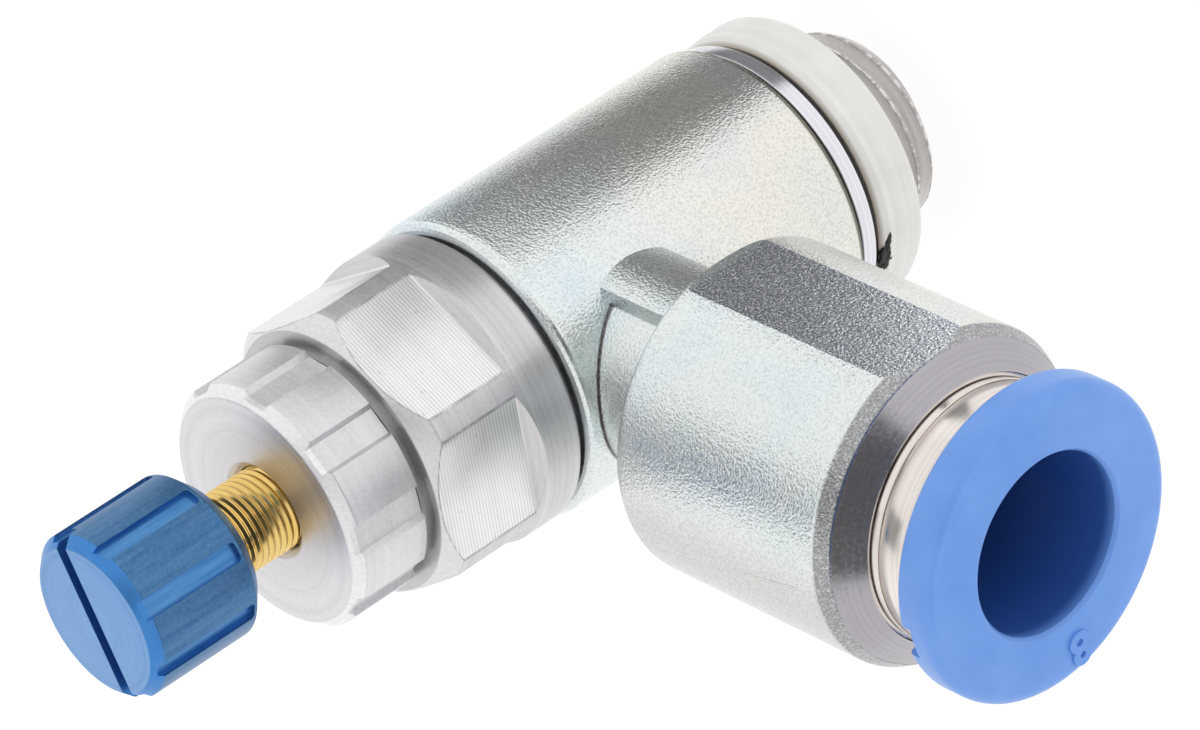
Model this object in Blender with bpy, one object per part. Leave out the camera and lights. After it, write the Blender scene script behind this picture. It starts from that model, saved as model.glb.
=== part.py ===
"""One-way flow control valve with a swivelling push-in tube connector and a screw-in hollow bolt.

Metres, +Z up. The screw axis is Z, with the knob at the top and the port thread at the bottom.
The origin lies on that axis in the seat plane, where the port seal meets the machine.
The tube goes in along -X, on the branch axis.
"""

from math import cos, pi, radians, sin, sqrt

import bmesh
import bpy
from mathutils import Matrix, Vector

MM = 0.001

# Facets round a full turn, by size of piece
LARGE_FACETS = 40
SMALL_FACETS = 32
FINE_FACETS = 16
SEAL_FACETS = 8

# Fits
RUNNING_CLEARANCE = 0.05 * MM
PRESS_GAP = 0.03 * MM
FACE_GAP = 0.10 * MM
SWIVEL_PLAY = 0.10 * MM
OVERCUT = 1.0 * MM

# Port thread, G 1/8
PORT_THREAD_DIAMETER = 9.728 * MM
PORT_THREAD_PITCH = 0.907 * MM
PORT_THREAD_DEPTH = 0.581 * MM
PORT_THREAD_CREST = 0.16
PORT_THREAD_REACH = 3.3 * MM
PORT_THREAD_CHAMFER = 0.55 * MM

# Port seal: a stiff outer ring round a rubber ring
PORT_RUBBER_WALL = 0.9 * MM
PORT_SEAL_WALL = 1.356 * MM
PORT_SEAL_HEIGHT = 2.65 * MM
PORT_SEAL_ROUND = 0.7 * MM
PORT_RUBBER_RISE = 0.15 * MM

# Retaining ring on the shank
RETAINER_SET_BACK = 0.35 * MM
RETAINER_HEIGHT = 1.0 * MM
RETAINER_CHAMFER = 0.12 * MM

# Hollow bolt
SHANK_SHOULDER = 0.636 * MM
BOLT_BORE = 5.4 * MM
GALLERY_DEPTH = 0.7 * MM
HEAD_SET_BACK = 0.2 * MM
HEAD_FLAT_DEPTH = 0.7 * MM
HEAD_HEIGHT = 8.25 * MM
HEAD_COLLAR = 2.35 * MM
HEAD_RUNOUT = 0.55 * MM
HEAD_TOP_CHAMFER = 0.8 * MM
HEAD_TOP_CHAMFER_DEPTH = 0.78 * MM
HEAD_BOSS_HEIGHT = 0.27 * MM
HEAD_BOSS_INSIDE_NUT = 0.4 * MM
HEAD_FOOT_CHAMFER = 0.4 * MM
HEAD_FLATS = 6
CROSS_HOLES = 4
LOWER_HOLE_DIAMETER = 2.2 * MM
UPPER_HOLE_DIAMETER = 2.4 * MM

# Swivel body, along Z
BODY_WALL = 1.85 * MM
BODY_HEIGHT = 17.15 * MM
BODY_FOOT_CHAMFER = 0.35 * MM
BODY_TOP_ROUND = 0.5 * MM
BODY_TOP_RIM = 0.55 * MM
BODY_TOP_RECESS_DEPTH = 0.35 * MM
BRANCH_ABOVE_BODY_FOOT = 11.95 * MM

# Swivel body, along the branch
NECK_DIAMETER = 9.0 * MM
NECK_PAD_DIAMETER = 10.4 * MM
NECK_PAD_WIDTH = 3.8 * MM
BARREL_FLAT_DEPTH = 0.36 * MM
BARREL_START = 11.5 * MM
BARREL_FRONT = 25.35 * MM
BARREL_BACK_ROUND = 0.75 * MM
BARREL_RIM_LENGTH = 0.7 * MM
BARREL_RIM_DEPTH = 0.4 * MM
BARREL_CONE_LENGTH = 1.0 * MM
PASSAGE_DIAMETER = 6.0 * MM

# Seals on the bolt shank
O_RING_SECTION = 0.86 * MM
O_RING_GROOVE = 1.4 * MM
LOWER_O_RING_ABOVE_FOOT = 1.65 * MM
UPPER_O_RING_BELOW_TOP = 1.5 * MM
LIP_SEAL_HEIGHT = 1.5 * MM
LIP_SEAL_WALL = 0.32 * MM

# Throttle seat and needle
THROTTLE_SEAT_HEIGHT = 2.0 * MM
THROTTLE_ORIFICE = 2.6 * MM
NEEDLE_CLEARANCE = 0.08 * MM
NEEDLE_TIP_DIAMETER = 1.0 * MM
NEEDLE_LAND = 1.0 * MM
NEEDLE_CONE = 3.4 * MM

# Regulating screw, M4 fine
SCREW_DIAMETER = 4.0 * MM
SCREW_PITCH = 0.35 * MM
SCREW_THREAD_DEPTH = 0.22 * MM
SCREW_THREAD_IN_HEAD = 3.0 * MM
SCREW_EXPOSED = 3.35 * MM
SCREW_TRAVEL_IN = 2.6 * MM
SCREW_TRAVEL_OUT = 1.0 * MM
STEM_DIAMETER = 3.0 * MM
PISTON_HEIGHT = 1.7 * MM
PISTON_GROOVE = 0.9 * MM
SCREW_O_RING_SECTION = 0.76 * MM

# Lock nut
NUT_DIAMETER = 12.0 * MM
NUT_HEIGHT = 4.05 * MM
NUT_CHAMFER = 0.5 * MM
NUT_COUNTERSINK = 0.5 * MM
NUT_GROOVES = 9
NUT_GROOVE_WIDTH = 1.66 * MM
NUT_GROOVE_DEPTH = 0.3 * MM
NUT_FIRST_GROOVE = radians(45)

# Knob
KNOB_DIAMETER = 8.0 * MM
KNOB_HEIGHT = 6.4 * MM
KNOB_TOP_CHAMFER = 0.5 * MM
KNOB_FOOT_CHAMFER = 0.7 * MM
KNOB_GROOVES = 8
KNOB_GROOVE_WIDTH = 0.95 * MM
KNOB_GROOVE_DEPTH = 0.28 * MM
KNOB_GROOVE_END = 0.9 * MM
KNOB_FIRST_GROOVE = radians(28)
KNOB_SLOT_WIDTH = 0.8 * MM
KNOB_SLOT_DEPTH = 0.9 * MM
KNOB_SLOT_ANGLE = radians(111)
SPIGOT_DIAMETER = 3.1 * MM
SPIGOT_LENGTH = 3.4 * MM

# Push-in connector for an 8 mm tube
TUBE_DIAMETER = 8.0 * MM
TUBE_CLEARANCE = 0.15 * MM
TUBE_STOP = 14.0 * MM
SEAL_CHAMBER_START = 16.4 * MM
TUBE_SEAL_LENGTH = 1.75 * MM
TUBE_SEAL_SQUEEZE = 0.05 * MM
TUBE_SEAL_NOTCH = 0.4 * MM
CLAW_HOLDER_LENGTH = 1.75 * MM
CLAW_TIP_CLEARANCE = 0.1 * MM
CLAW_RIM_WIDTH = 0.75 * MM
CLAW_THICKNESS = 0.25 * MM
CLAW_LEAN = 0.85 * MM
CLAW_SLOTS = 10
CLAW_SLOT_WIDTH = 0.5 * MM
SLEEVE_NOSE_LENGTH = 2.05 * MM
SLEEVE_WALL = 0.5 * MM
SLEEVE_NOSE_STEP = 0.1 * MM
SLEEVE_ROUND_STEM = 0.4 * MM
SLEEVE_LIP_LENGTH = 1.7 * MM
SLEEVE_GROOVE_WIDTH = 0.16 * MM
SLEEVE_GROOVE_DEPTH = 0.12 * MM
SLEEVE_GROOVE_FROM_BARREL = 0.45 * MM

# Release ring
RELEASE_SET_BACK = 0.15 * MM
RELEASE_FLANGE = 1.85 * MM
RELEASE_ROUND = 0.55 * MM
RELEASE_RIM = 0.8 * MM
RELEASE_SKIRT = 0.9 * MM
RELEASE_SKIRT_GAP = 0.4 * MM
RELEASE_STEM_WALL = 1.0 * MM
RELEASE_BARB_HEIGHT = 0.17 * MM
RELEASE_BARB_LENGTH = 1.0 * MM
RELEASE_LEAD_IN = 0.42 * MM
RELEASE_TRAVEL = 1.4 * MM
RELEASE_NOTCH_WIDTH = 1.7 * MM
RELEASE_NOTCH_DEPTH = 0.6 * MM
RELEASE_NOTCH_ANGLE = radians(10.5)

# Heights along the screw axis, worked out from the sizes above
RETAINER_FOOT = PORT_SEAL_HEIGHT + 3 * FACE_GAP
RETAINER_TOP = RETAINER_FOOT + RETAINER_HEIGHT
BODY_FOOT = RETAINER_TOP + SWIVEL_PLAY
BODY_TOP = BODY_FOOT + BODY_HEIGHT
BRANCH_Z = BODY_FOOT + BRANCH_ABOVE_BODY_FOOT
HEAD_FOOT = BODY_TOP + SWIVEL_PLAY + FACE_GAP / 2
HEAD_TOP = HEAD_FOOT + HEAD_HEIGHT
HEAD_FACE = HEAD_TOP - HEAD_BOSS_HEIGHT
NUT_FOOT = HEAD_TOP + FACE_GAP
NUT_TOP = NUT_FOOT + NUT_HEIGHT
KNOB_FOOT = NUT_TOP + SCREW_EXPOSED
KNOB_TOP = KNOB_FOOT + KNOB_HEIGHT
SHANK_FOOT = PORT_SEAL_HEIGHT + FACE_GAP + PORT_RUBBER_RISE

# Radii round the screw axis, from the port thread outwards
PORT_THREAD_RADIUS = PORT_THREAD_DIAMETER / 2
PORT_RUBBER_BORE_RADIUS = PORT_THREAD_RADIUS + RUNNING_CLEARANCE
PORT_RUBBER_RADIUS = PORT_RUBBER_BORE_RADIUS + PORT_RUBBER_WALL
PORT_SEAL_BORE_RADIUS = PORT_RUBBER_RADIUS + PRESS_GAP
PORT_SEAL_RADIUS = PORT_SEAL_BORE_RADIUS + PORT_SEAL_WALL
SHANK_RADIUS = PORT_THREAD_RADIUS + SHANK_SHOULDER
BODY_BORE_RADIUS = SHANK_RADIUS + RUNNING_CLEARANCE
BODY_RADIUS = BODY_BORE_RADIUS + BODY_WALL
HEAD_RADIUS = BODY_RADIUS - HEAD_SET_BACK
HEAD_FLAT_REACH = HEAD_RADIUS - HEAD_FLAT_DEPTH
HEAD_FACE_RADIUS = HEAD_RADIUS - HEAD_TOP_CHAMFER_DEPTH
HEAD_BOSS_RADIUS = NUT_DIAMETER / 2 - HEAD_BOSS_INSIDE_NUT
RETAINER_RADIUS = BODY_RADIUS - RETAINER_SET_BACK
GALLERY_RADIUS = SHANK_RADIUS - GALLERY_DEPTH
O_RING_GROOVE_RADIUS = SHANK_RADIUS - O_RING_SECTION - RUNNING_CLEARANCE
BOLT_BORE_RADIUS = BOLT_BORE / 2
SCREW_BORE_RADIUS = SCREW_DIAMETER / 2 + RUNNING_CLEARANCE
PISTON_RADIUS = BOLT_BORE_RADIUS - RUNNING_CLEARANCE

# Radii round the tube axis, from the tube outwards; the barrel's flats are flush with the body
TUBE_RADIUS = TUBE_DIAMETER / 2
TUBE_BORE_RADIUS = TUBE_RADIUS + TUBE_CLEARANCE
STEM_RADIUS = TUBE_BORE_RADIUS + RELEASE_STEM_WALL
SLEEVE_BORE_RADIUS = STEM_RADIUS + SLEEVE_ROUND_STEM
CHAMBER_FIT_RADIUS = SLEEVE_BORE_RADIUS + SLEEVE_WALL
CHAMBER_RADIUS = CHAMBER_FIT_RADIUS + RUNNING_CLEARANCE
SLEEVE_NOSE_RADIUS = CHAMBER_FIT_RADIUS - SLEEVE_NOSE_STEP
CLAW_BEND_RADIUS = CHAMBER_FIT_RADIUS - CLAW_RIM_WIDTH
BARREL_FLAT_REACH = BODY_RADIUS
BARREL_RADIUS = BARREL_FLAT_REACH + BARREL_FLAT_DEPTH
RELEASE_RADIUS = BARREL_FLAT_REACH - RELEASE_SET_BACK
RELEASE_SKIRT_RADIUS = SLEEVE_NOSE_RADIUS + RELEASE_SKIRT_GAP

# Places of the seals and holes along the bolt
LOWER_O_RING_Z = BODY_FOOT + LOWER_O_RING_ABOVE_FOOT
UPPER_O_RING_Z = BODY_TOP - UPPER_O_RING_BELOW_TOP
LOWER_HOLE_Z = LOWER_O_RING_Z + O_RING_GROOVE / 2 + LOWER_HOLE_DIAMETER
LOWER_GALLERY_TOP = LOWER_HOLE_Z + LOWER_HOLE_DIAMETER * 0.75
LOWER_GALLERY_FOOT = LOWER_HOLE_Z - LOWER_HOLE_DIAMETER * 0.75
LIP_SEAL_FOOT = LOWER_GALLERY_TOP + O_RING_GROOVE / 4
UPPER_GALLERY_FOOT = LIP_SEAL_FOOT + LIP_SEAL_HEIGHT + O_RING_GROOVE / 4
UPPER_GALLERY_TOP = UPPER_O_RING_Z - O_RING_GROOVE
UPPER_HOLE_Z = UPPER_GALLERY_FOOT + UPPER_HOLE_DIAMETER / 2 + FACE_GAP
THROTTLE_SEAT_TOP = UPPER_HOLE_Z - UPPER_HOLE_DIAMETER / 2 - FACE_GAP
THROTTLE_SEAT_FOOT = THROTTLE_SEAT_TOP - THROTTLE_SEAT_HEIGHT

# Places along the screw: the piston stays above the upper holes and below its stop
PISTON_FOOT = UPPER_HOLE_Z + UPPER_HOLE_DIAMETER / 2 + SCREW_TRAVEL_IN + FACE_GAP
PISTON_TOP = PISTON_FOOT + PISTON_HEIGHT
PISTON_STOP = PISTON_TOP + SCREW_TRAVEL_OUT + FACE_GAP
NEEDLE_SHOULDER = THROTTLE_SEAT_TOP + SCREW_TRAVEL_IN + 4 * FACE_GAP
SCREW_THREAD_FOOT = HEAD_TOP - SCREW_THREAD_IN_HEAD

# Places along the branch
TUBE_SEAL_START = SEAL_CHAMBER_START + FACE_GAP
CLAW_HOLDER_START = TUBE_SEAL_START + TUBE_SEAL_LENGTH + FACE_GAP
CLAW_RIM_START = CLAW_HOLDER_START + CLAW_HOLDER_LENGTH + FACE_GAP
SLEEVE_START = CLAW_RIM_START + CLAW_THICKNESS + FACE_GAP
SLEEVE_FRONT = BARREL_FRONT + SLEEVE_NOSE_LENGTH
RELEASE_WEB_START = SLEEVE_FRONT + RELEASE_TRAVEL + 2 * FACE_GAP
RELEASE_BACK = RELEASE_WEB_START - RELEASE_SKIRT
RELEASE_FRONT = RELEASE_BACK + RELEASE_FLANGE
RELEASE_STEM_END = SLEEVE_START + RELEASE_TRAVEL
SLEEVE_LIP_START = SLEEVE_FRONT - SLEEVE_LIP_LENGTH


def clear_scene():
    for thing in list(bpy.data.objects):
        bpy.data.objects.remove(thing, do_unlink=True)


def finish(name, colour, metallic, roughness):
    """A material of one colour."""
    made = bpy.data.materials.new(name)
    made.use_nodes = True
    shader = made.node_tree.nodes["Principled BSDF"]
    shader.inputs["Base Color"].default_value = (*colour, 1.0)
    shader.inputs["Metallic"].default_value = metallic
    shader.inputs["Roughness"].default_value = roughness
    return made


def place(name, bm, material=None):
    """Puts a bmesh into the scene as a named object, shaded smooth with sharp edges kept."""
    bmesh.ops.recalc_face_normals(bm, faces=bm.faces)
    mesh = bpy.data.meshes.new(name)
    bm.to_mesh(mesh)
    bm.free()
    mesh.shade_smooth()
    mesh.set_sharp_from_angle(angle=radians(30))
    thing = bpy.data.objects.new(name, mesh)
    bpy.context.scene.collection.objects.link(thing)
    if material:
        mesh.materials.append(material)
    return thing


def revolve(outline, facets):
    """Spins an outline of (radius, height) points about Z. Ends at radius 0 close on the axis."""
    bm = bmesh.new()
    half = pi / facets
    points = [bm.verts.new((r * cos(half), r * sin(half), height)) for r, height in outline]
    edges = [bm.edges.new(pair) for pair in zip(points, points[1:])]
    solid = outline[0][0] == 0 and outline[-1][0] == 0
    if not solid:
        edges.append(bm.edges.new((points[-1], points[0])))
    bmesh.ops.spin(
        bm, geom=points + edges, cent=(0, 0, 0), axis=(0, 0, 1), angle=2 * pi, steps=facets, use_merge=True
    )
    bmesh.ops.remove_doubles(bm, verts=bm.verts, dist=1e-7)
    bmesh.ops.recalc_face_normals(bm, faces=bm.faces)
    return bm


def ring_section(middle_radius, middle_height, section, points=SEAL_FACETS):
    """The outline of an O-ring's round section."""
    turn = [2 * pi * (i + 0.5) / points for i in range(points)]
    return [(middle_radius + section / 2 * cos(a), middle_height + section / 2 * sin(a)) for a in turn]


def rounded_corner(radius, height, size, start, end, steps=3):
    """Points of a quarter round about a centre, from one angle to the other."""
    angles = [start + (end - start) * i / steps for i in range(steps + 1)]
    return [(radius + size * cos(a), height + size * sin(a)) for a in angles]


def along_branch(thing):
    """Lays a piece made about Z along the branch axis."""
    thing.location = (0, 0, BRANCH_Z)
    thing.rotation_euler = (0, pi / 2, 0)
    return thing


def helper(thing):
    """Marks a cutter, which isn't part of the valve."""
    thing.hide_render = True
    thing.display_type = "WIRE"
    return thing


def combine(thing, other, operation):
    helper(other)
    modifier = thing.modifiers.new(operation.title(), "BOOLEAN")
    modifier.operation = operation
    modifier.solver = "EXACT"
    modifier.object = other


def box(size, centre, turn=0.0):
    """A box mesh, turned about Z after it is moved to its centre."""
    bm = bmesh.new()
    place_box(bm, size, centre, turn)
    return bm


def place_box(bm, size, centre, turn=0.0):
    stretch = Matrix.Diagonal((*size, 1.0))
    bmesh.ops.create_cube(
        bm, size=1.0, matrix=Matrix.Rotation(turn, 4, "Z") @ Matrix.Translation(centre) @ stretch
    )


def threaded_rod(crest, root, pitch, foot, top, facets, crest_width):
    """A solid right-hand thread between two heights, cut off flat at both."""
    bm = bmesh.new()
    tooth = [(root, 0.0), (crest, (1 - crest_width) / 2)]
    if crest_width:
        tooth.append((crest, (1 + crest_width) / 2))
    first = foot - 2 * pitch
    steps = int((top - foot) / pitch + 4) * facets
    columns = []
    for step in range(steps + 1):
        angle = 2 * pi * step / facets
        rise = first + pitch * step / facets
        column = [bm.verts.new((r * cos(angle), r * sin(angle), rise + part * pitch)) for r, part in tooth]
        columns.append(column)
    for step in range(steps - facets):
        here = columns[step] + [columns[step + facets][0]]
        there = columns[step + 1] + [columns[step + facets + 1][0]]
        for low in range(len(tooth)):
            bm.faces.new((here[low], there[low], there[low + 1], here[low + 1]))
    for height, side in ((foot, -1), (top, 1)):
        everything = bm.verts[:] + bm.edges[:] + bm.faces[:]
        bmesh.ops.bisect_plane(
            bm, geom=everything, plane_co=(0, 0, height), plane_no=(0, 0, side), clear_outer=True, dist=1e-7
        )
    loose = [vert for vert in bm.verts if not vert.link_faces]
    bmesh.ops.delete(bm, geom=loose, context="VERTS")
    rims = [edge for edge in bm.edges if edge.is_boundary]
    bmesh.ops.holes_fill(bm, edges=rims, sides=0)
    return bm


def hollow_bolt(material):
    """The screw-in bolt: port thread, sealed shank with its air galleries, and hexagon head."""
    groove = O_RING_GROOVE / 2
    lip_top = LIP_SEAL_FOOT + LIP_SEAL_HEIGHT
    crest = PORT_THREAD_RADIUS
    root = crest - PORT_THREAD_DEPTH
    core = root - PORT_THREAD_DEPTH / 2
    thread_top = SHANK_FOOT - PORT_THREAD_PITCH / 2
    outline = [
        (0, PORT_THREAD_PITCH - PORT_THREAD_REACH),
        (core, PORT_THREAD_PITCH - PORT_THREAD_REACH),
        (core, SHANK_FOOT),
        (SHANK_RADIUS, SHANK_FOOT),
        (SHANK_RADIUS, LOWER_O_RING_Z - groove),
        (O_RING_GROOVE_RADIUS, LOWER_O_RING_Z - groove),
        (O_RING_GROOVE_RADIUS, LOWER_O_RING_Z + groove),
        (SHANK_RADIUS, LOWER_O_RING_Z + groove),
        (SHANK_RADIUS, LOWER_GALLERY_FOOT),
        (GALLERY_RADIUS, LOWER_GALLERY_FOOT),
        (GALLERY_RADIUS, LOWER_GALLERY_TOP),
        (SHANK_RADIUS, LOWER_GALLERY_TOP),
        (SHANK_RADIUS, LIP_SEAL_FOOT - FACE_GAP),
        (O_RING_GROOVE_RADIUS, LIP_SEAL_FOOT - FACE_GAP),
        (O_RING_GROOVE_RADIUS, lip_top + FACE_GAP),
        (GALLERY_RADIUS, lip_top + FACE_GAP),
        (GALLERY_RADIUS, UPPER_GALLERY_TOP),
        (SHANK_RADIUS, UPPER_GALLERY_TOP),
        (SHANK_RADIUS, UPPER_O_RING_Z - groove),
        (O_RING_GROOVE_RADIUS, UPPER_O_RING_Z - groove),
        (O_RING_GROOVE_RADIUS, UPPER_O_RING_Z + groove),
        (SHANK_RADIUS, UPPER_O_RING_Z + groove),
        (SHANK_RADIUS, HEAD_FOOT),
        (HEAD_RADIUS - HEAD_FOOT_CHAMFER, HEAD_FOOT),
        (HEAD_RADIUS, HEAD_FOOT + HEAD_FOOT_CHAMFER),
        (HEAD_RADIUS, HEAD_FACE - HEAD_TOP_CHAMFER),
        (HEAD_FACE_RADIUS, HEAD_FACE),
        (HEAD_BOSS_RADIUS, HEAD_FACE),
        (HEAD_BOSS_RADIUS, HEAD_TOP),
        (0, HEAD_TOP),
    ]
    bolt = place("hollow_bolt", revolve(outline, LARGE_FACETS), material)
    combine(bolt, place("head_flats", head_flats_form()), "INTERSECT")

    thread = threaded_rod(
        crest, root, PORT_THREAD_PITCH, -PORT_THREAD_REACH, thread_top, SMALL_FACETS, PORT_THREAD_CREST
    )
    port_thread = place("port_thread_form", thread)
    end = crest - PORT_THREAD_CHAMFER
    envelope = [
        (0, -PORT_THREAD_REACH - OVERCUT),
        (end - OVERCUT, -PORT_THREAD_REACH - OVERCUT),
        (crest + OVERCUT, -PORT_THREAD_REACH + PORT_THREAD_CHAMFER + OVERCUT),
        (crest + OVERCUT, thread_top + OVERCUT),
        (0, thread_top + OVERCUT),
    ]
    combine(port_thread, place("port_thread_chamfer", revolve(envelope, SMALL_FACETS)), "INTERSECT")
    combine(bolt, port_thread, "UNION")

    bore = [
        (0, -PORT_THREAD_REACH - OVERCUT),
        (BOLT_BORE_RADIUS, -PORT_THREAD_REACH - OVERCUT),
        (BOLT_BORE_RADIUS, PISTON_STOP),
        (SCREW_BORE_RADIUS, PISTON_STOP),
        (SCREW_BORE_RADIUS, HEAD_TOP + OVERCUT),
        (0, HEAD_TOP + OVERCUT),
    ]
    combine(bolt, place("bolt_bore", revolve(bore, SMALL_FACETS)), "DIFFERENCE")

    for name, height, diameter in (
        ("lower_cross_hole", LOWER_HOLE_Z, LOWER_HOLE_DIAMETER),
        ("upper_cross_hole", UPPER_HOLE_Z, UPPER_HOLE_DIAMETER),
    ):
        for turn in range(CROSS_HOLES // 2):
            drill = bmesh.new()
            bmesh.ops.create_cone(
                drill, cap_ends=True, segments=16, radius1=diameter / 2, radius2=diameter / 2, depth=2 * SHANK_RADIUS
            )
            cutter = place(f"{name}_{turn}", drill)
            cutter.location = (0, 0, height)
            cutter.rotation_euler = (0, pi / 2, pi / 4 + turn * pi / 2)
            combine(bolt, cutter, "DIFFERENCE")

    return bolt


def head_flats_form():
    """A six-sided form that opens out below the flats, so that each flat runs out into the collar."""
    bm = bmesh.new()
    corner = 1 / cos(pi / HEAD_FLATS)
    flat = HEAD_FLAT_REACH * corner
    clear = (HEAD_RADIUS + FACE_GAP) * corner
    runout_foot = HEAD_FOOT + HEAD_COLLAR
    levels = [
        (clear, -PORT_THREAD_REACH - OVERCUT),
        (clear, runout_foot),
        (flat, runout_foot + HEAD_RUNOUT),
        (flat, HEAD_TOP + OVERCUT),
    ]
    rings = []
    for radius, height in levels:
        angles = [pi / HEAD_FLATS + 2 * pi * i / HEAD_FLATS for i in range(HEAD_FLATS)]
        rings.append([bm.verts.new((radius * cos(a), radius * sin(a), height)) for a in angles])
    for low, high in zip(rings, rings[1:]):
        for i in range(HEAD_FLATS):
            after = (i + 1) % HEAD_FLATS
            bm.faces.new((low[i], low[after], high[after], high[i]))
    bm.faces.new(rings[0])
    bm.faces.new(rings[-1])
    bmesh.ops.recalc_face_normals(bm, faces=bm.faces)
    return bm


def throttle_seat(material):
    """The bush pressed into the bolt's bore, which the needle closes."""
    outer = BOLT_BORE_RADIUS - PRESS_GAP
    orifice = THROTTLE_ORIFICE / 2
    outline = [
        (orifice, THROTTLE_SEAT_FOOT),
        (outer, THROTTLE_SEAT_FOOT),
        (outer, THROTTLE_SEAT_TOP),
        (orifice + FACE_GAP, THROTTLE_SEAT_TOP),
        (orifice, THROTTLE_SEAT_TOP - FACE_GAP),
    ]
    return place("throttle_seat", revolve(outline, SMALL_FACETS), material)


def shank_o_ring(name, height, material):
    """An O-ring in one of the shank's grooves."""
    middle = O_RING_GROOVE_RADIUS + RUNNING_CLEARANCE / 2 + O_RING_SECTION / 2
    return place(name, revolve(ring_section(middle, height, O_RING_SECTION), SMALL_FACETS), material)


def check_lip_seal(material):
    """The rubber lip that lets air pass upwards only: a foot in its groove and a lip leaning out."""
    foot = O_RING_GROOVE_RADIUS + RUNNING_CLEARANCE
    reach = SHANK_RADIUS
    top = LIP_SEAL_FOOT + LIP_SEAL_HEIGHT
    outline = [
        (foot, LIP_SEAL_FOOT),
        (reach - LIP_SEAL_WALL, LIP_SEAL_FOOT),
        (reach - LIP_SEAL_WALL / 2, LIP_SEAL_FOOT + LIP_SEAL_HEIGHT / 2),
        (reach, top),
        (reach - LIP_SEAL_WALL, top),
        (foot + LIP_SEAL_WALL, LIP_SEAL_FOOT + LIP_SEAL_HEIGHT / 2),
        (foot, LIP_SEAL_FOOT + LIP_SEAL_HEIGHT / 2),
    ]
    return place("check_lip_seal", revolve(outline, SMALL_FACETS), material)


def retaining_ring(material):
    """The bright ring pressed on the shank, which keeps the swivel body on the bolt."""
    inner = SHANK_RADIUS + PRESS_GAP
    outer = RETAINER_RADIUS
    outline = [
        (inner, RETAINER_FOOT),
        (outer - RETAINER_CHAMFER, RETAINER_FOOT),
        (outer, RETAINER_FOOT + RETAINER_CHAMFER),
        (outer, RETAINER_TOP - RETAINER_CHAMFER),
        (outer - RETAINER_CHAMFER, RETAINER_TOP),
        (inner, RETAINER_TOP),
    ]
    return place("retaining_ring", revolve(outline, LARGE_FACETS), material)


def port_seal_rubber(material):
    """The rubber ring on the port thread, which seals against the machine."""
    inner = PORT_RUBBER_BORE_RADIUS
    outer = PORT_RUBBER_RADIUS
    top = PORT_SEAL_HEIGHT + PORT_RUBBER_RISE
    outline = [(inner, 0), (outer, 0), (outer, top), (inner, top)]
    return place("port_seal_rubber", revolve(outline, SMALL_FACETS), material)


def port_seal_ring(material):
    """The stiff pale ring round the rubber, with a rounded rim on the thread side."""
    inner = PORT_SEAL_BORE_RADIUS
    outer = PORT_SEAL_RADIUS
    size = PORT_SEAL_ROUND
    outline = [(inner, 0)]
    outline += rounded_corner(outer - size, size, size, -pi / 2, 0, 4)
    outline += [(outer - size / 2, PORT_SEAL_HEIGHT), (inner, PORT_SEAL_HEIGHT)]
    return place("port_seal_ring", revolve(outline, LARGE_FACETS), material)


def lock_nut(material):
    """The finger-grip nut that holds the regulating screw's setting."""
    outer = NUT_DIAMETER / 2
    inner = SCREW_BORE_RADIUS
    outline = [
        (inner, NUT_FOOT),
        (outer, NUT_FOOT),
        (outer, NUT_TOP - NUT_CHAMFER),
        (outer - NUT_CHAMFER, NUT_TOP),
        (inner + NUT_COUNTERSINK, NUT_TOP),
        (inner, NUT_TOP - NUT_COUNTERSINK),
    ]
    nut = place("lock_nut", revolve(outline, LARGE_FACETS), material)
    bm = bmesh.new()
    floor = outer - NUT_GROOVE_DEPTH
    size = (OVERCUT, NUT_GROOVE_WIDTH, NUT_HEIGHT + 2 * OVERCUT)
    for i in range(NUT_GROOVES):
        turn = NUT_FIRST_GROOVE + 2 * pi * i / NUT_GROOVES
        place_box(bm, size, (floor + OVERCUT / 2, 0, NUT_FOOT + NUT_HEIGHT / 2), turn)
    combine(nut, place("lock_nut_grooves", bm), "DIFFERENCE")
    return nut


def regulating_screw(material):
    """The brass screw: needle, sealed piston, fine thread and the spigot that carries the knob."""
    needle = THROTTLE_ORIFICE / 2 - NEEDLE_CLEARANCE
    stem = STEM_DIAMETER / 2
    groove_foot = PISTON_FOOT + (PISTON_HEIGHT - PISTON_GROOVE) / 2
    groove_radius = PISTON_RADIUS - SCREW_O_RING_SECTION - RUNNING_CLEARANCE
    core = SCREW_DIAMETER / 2 - 1.5 * SCREW_THREAD_DEPTH
    spigot = SPIGOT_DIAMETER / 2
    land_foot = NEEDLE_SHOULDER - NEEDLE_LAND
    thread_top = KNOB_FOOT - FACE_GAP
    outline = [
        (0, land_foot - NEEDLE_CONE),
        (NEEDLE_TIP_DIAMETER / 2, land_foot - NEEDLE_CONE),
        (needle, land_foot),
        (needle, NEEDLE_SHOULDER),
        (stem, NEEDLE_SHOULDER),
        (stem, PISTON_FOOT),
        (PISTON_RADIUS, PISTON_FOOT),
        (PISTON_RADIUS, groove_foot),
        (groove_radius, groove_foot),
        (groove_radius, groove_foot + PISTON_GROOVE),
        (PISTON_RADIUS, groove_foot + PISTON_GROOVE),
        (PISTON_RADIUS, PISTON_TOP),
        (core, PISTON_TOP),
        (core, thread_top),
        (spigot, thread_top),
        (spigot, KNOB_FOOT + SPIGOT_LENGTH),
        (0, KNOB_FOOT + SPIGOT_LENGTH),
    ]
    screw = place("regulating_screw", revolve(outline, FINE_FACETS), material)
    crest = SCREW_DIAMETER / 2
    root = crest - SCREW_THREAD_DEPTH
    thread = threaded_rod(crest, root, SCREW_PITCH, SCREW_THREAD_FOOT, thread_top, FINE_FACETS, 0)
    combine(screw, place("screw_thread_form", thread), "UNION")
    return screw


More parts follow.
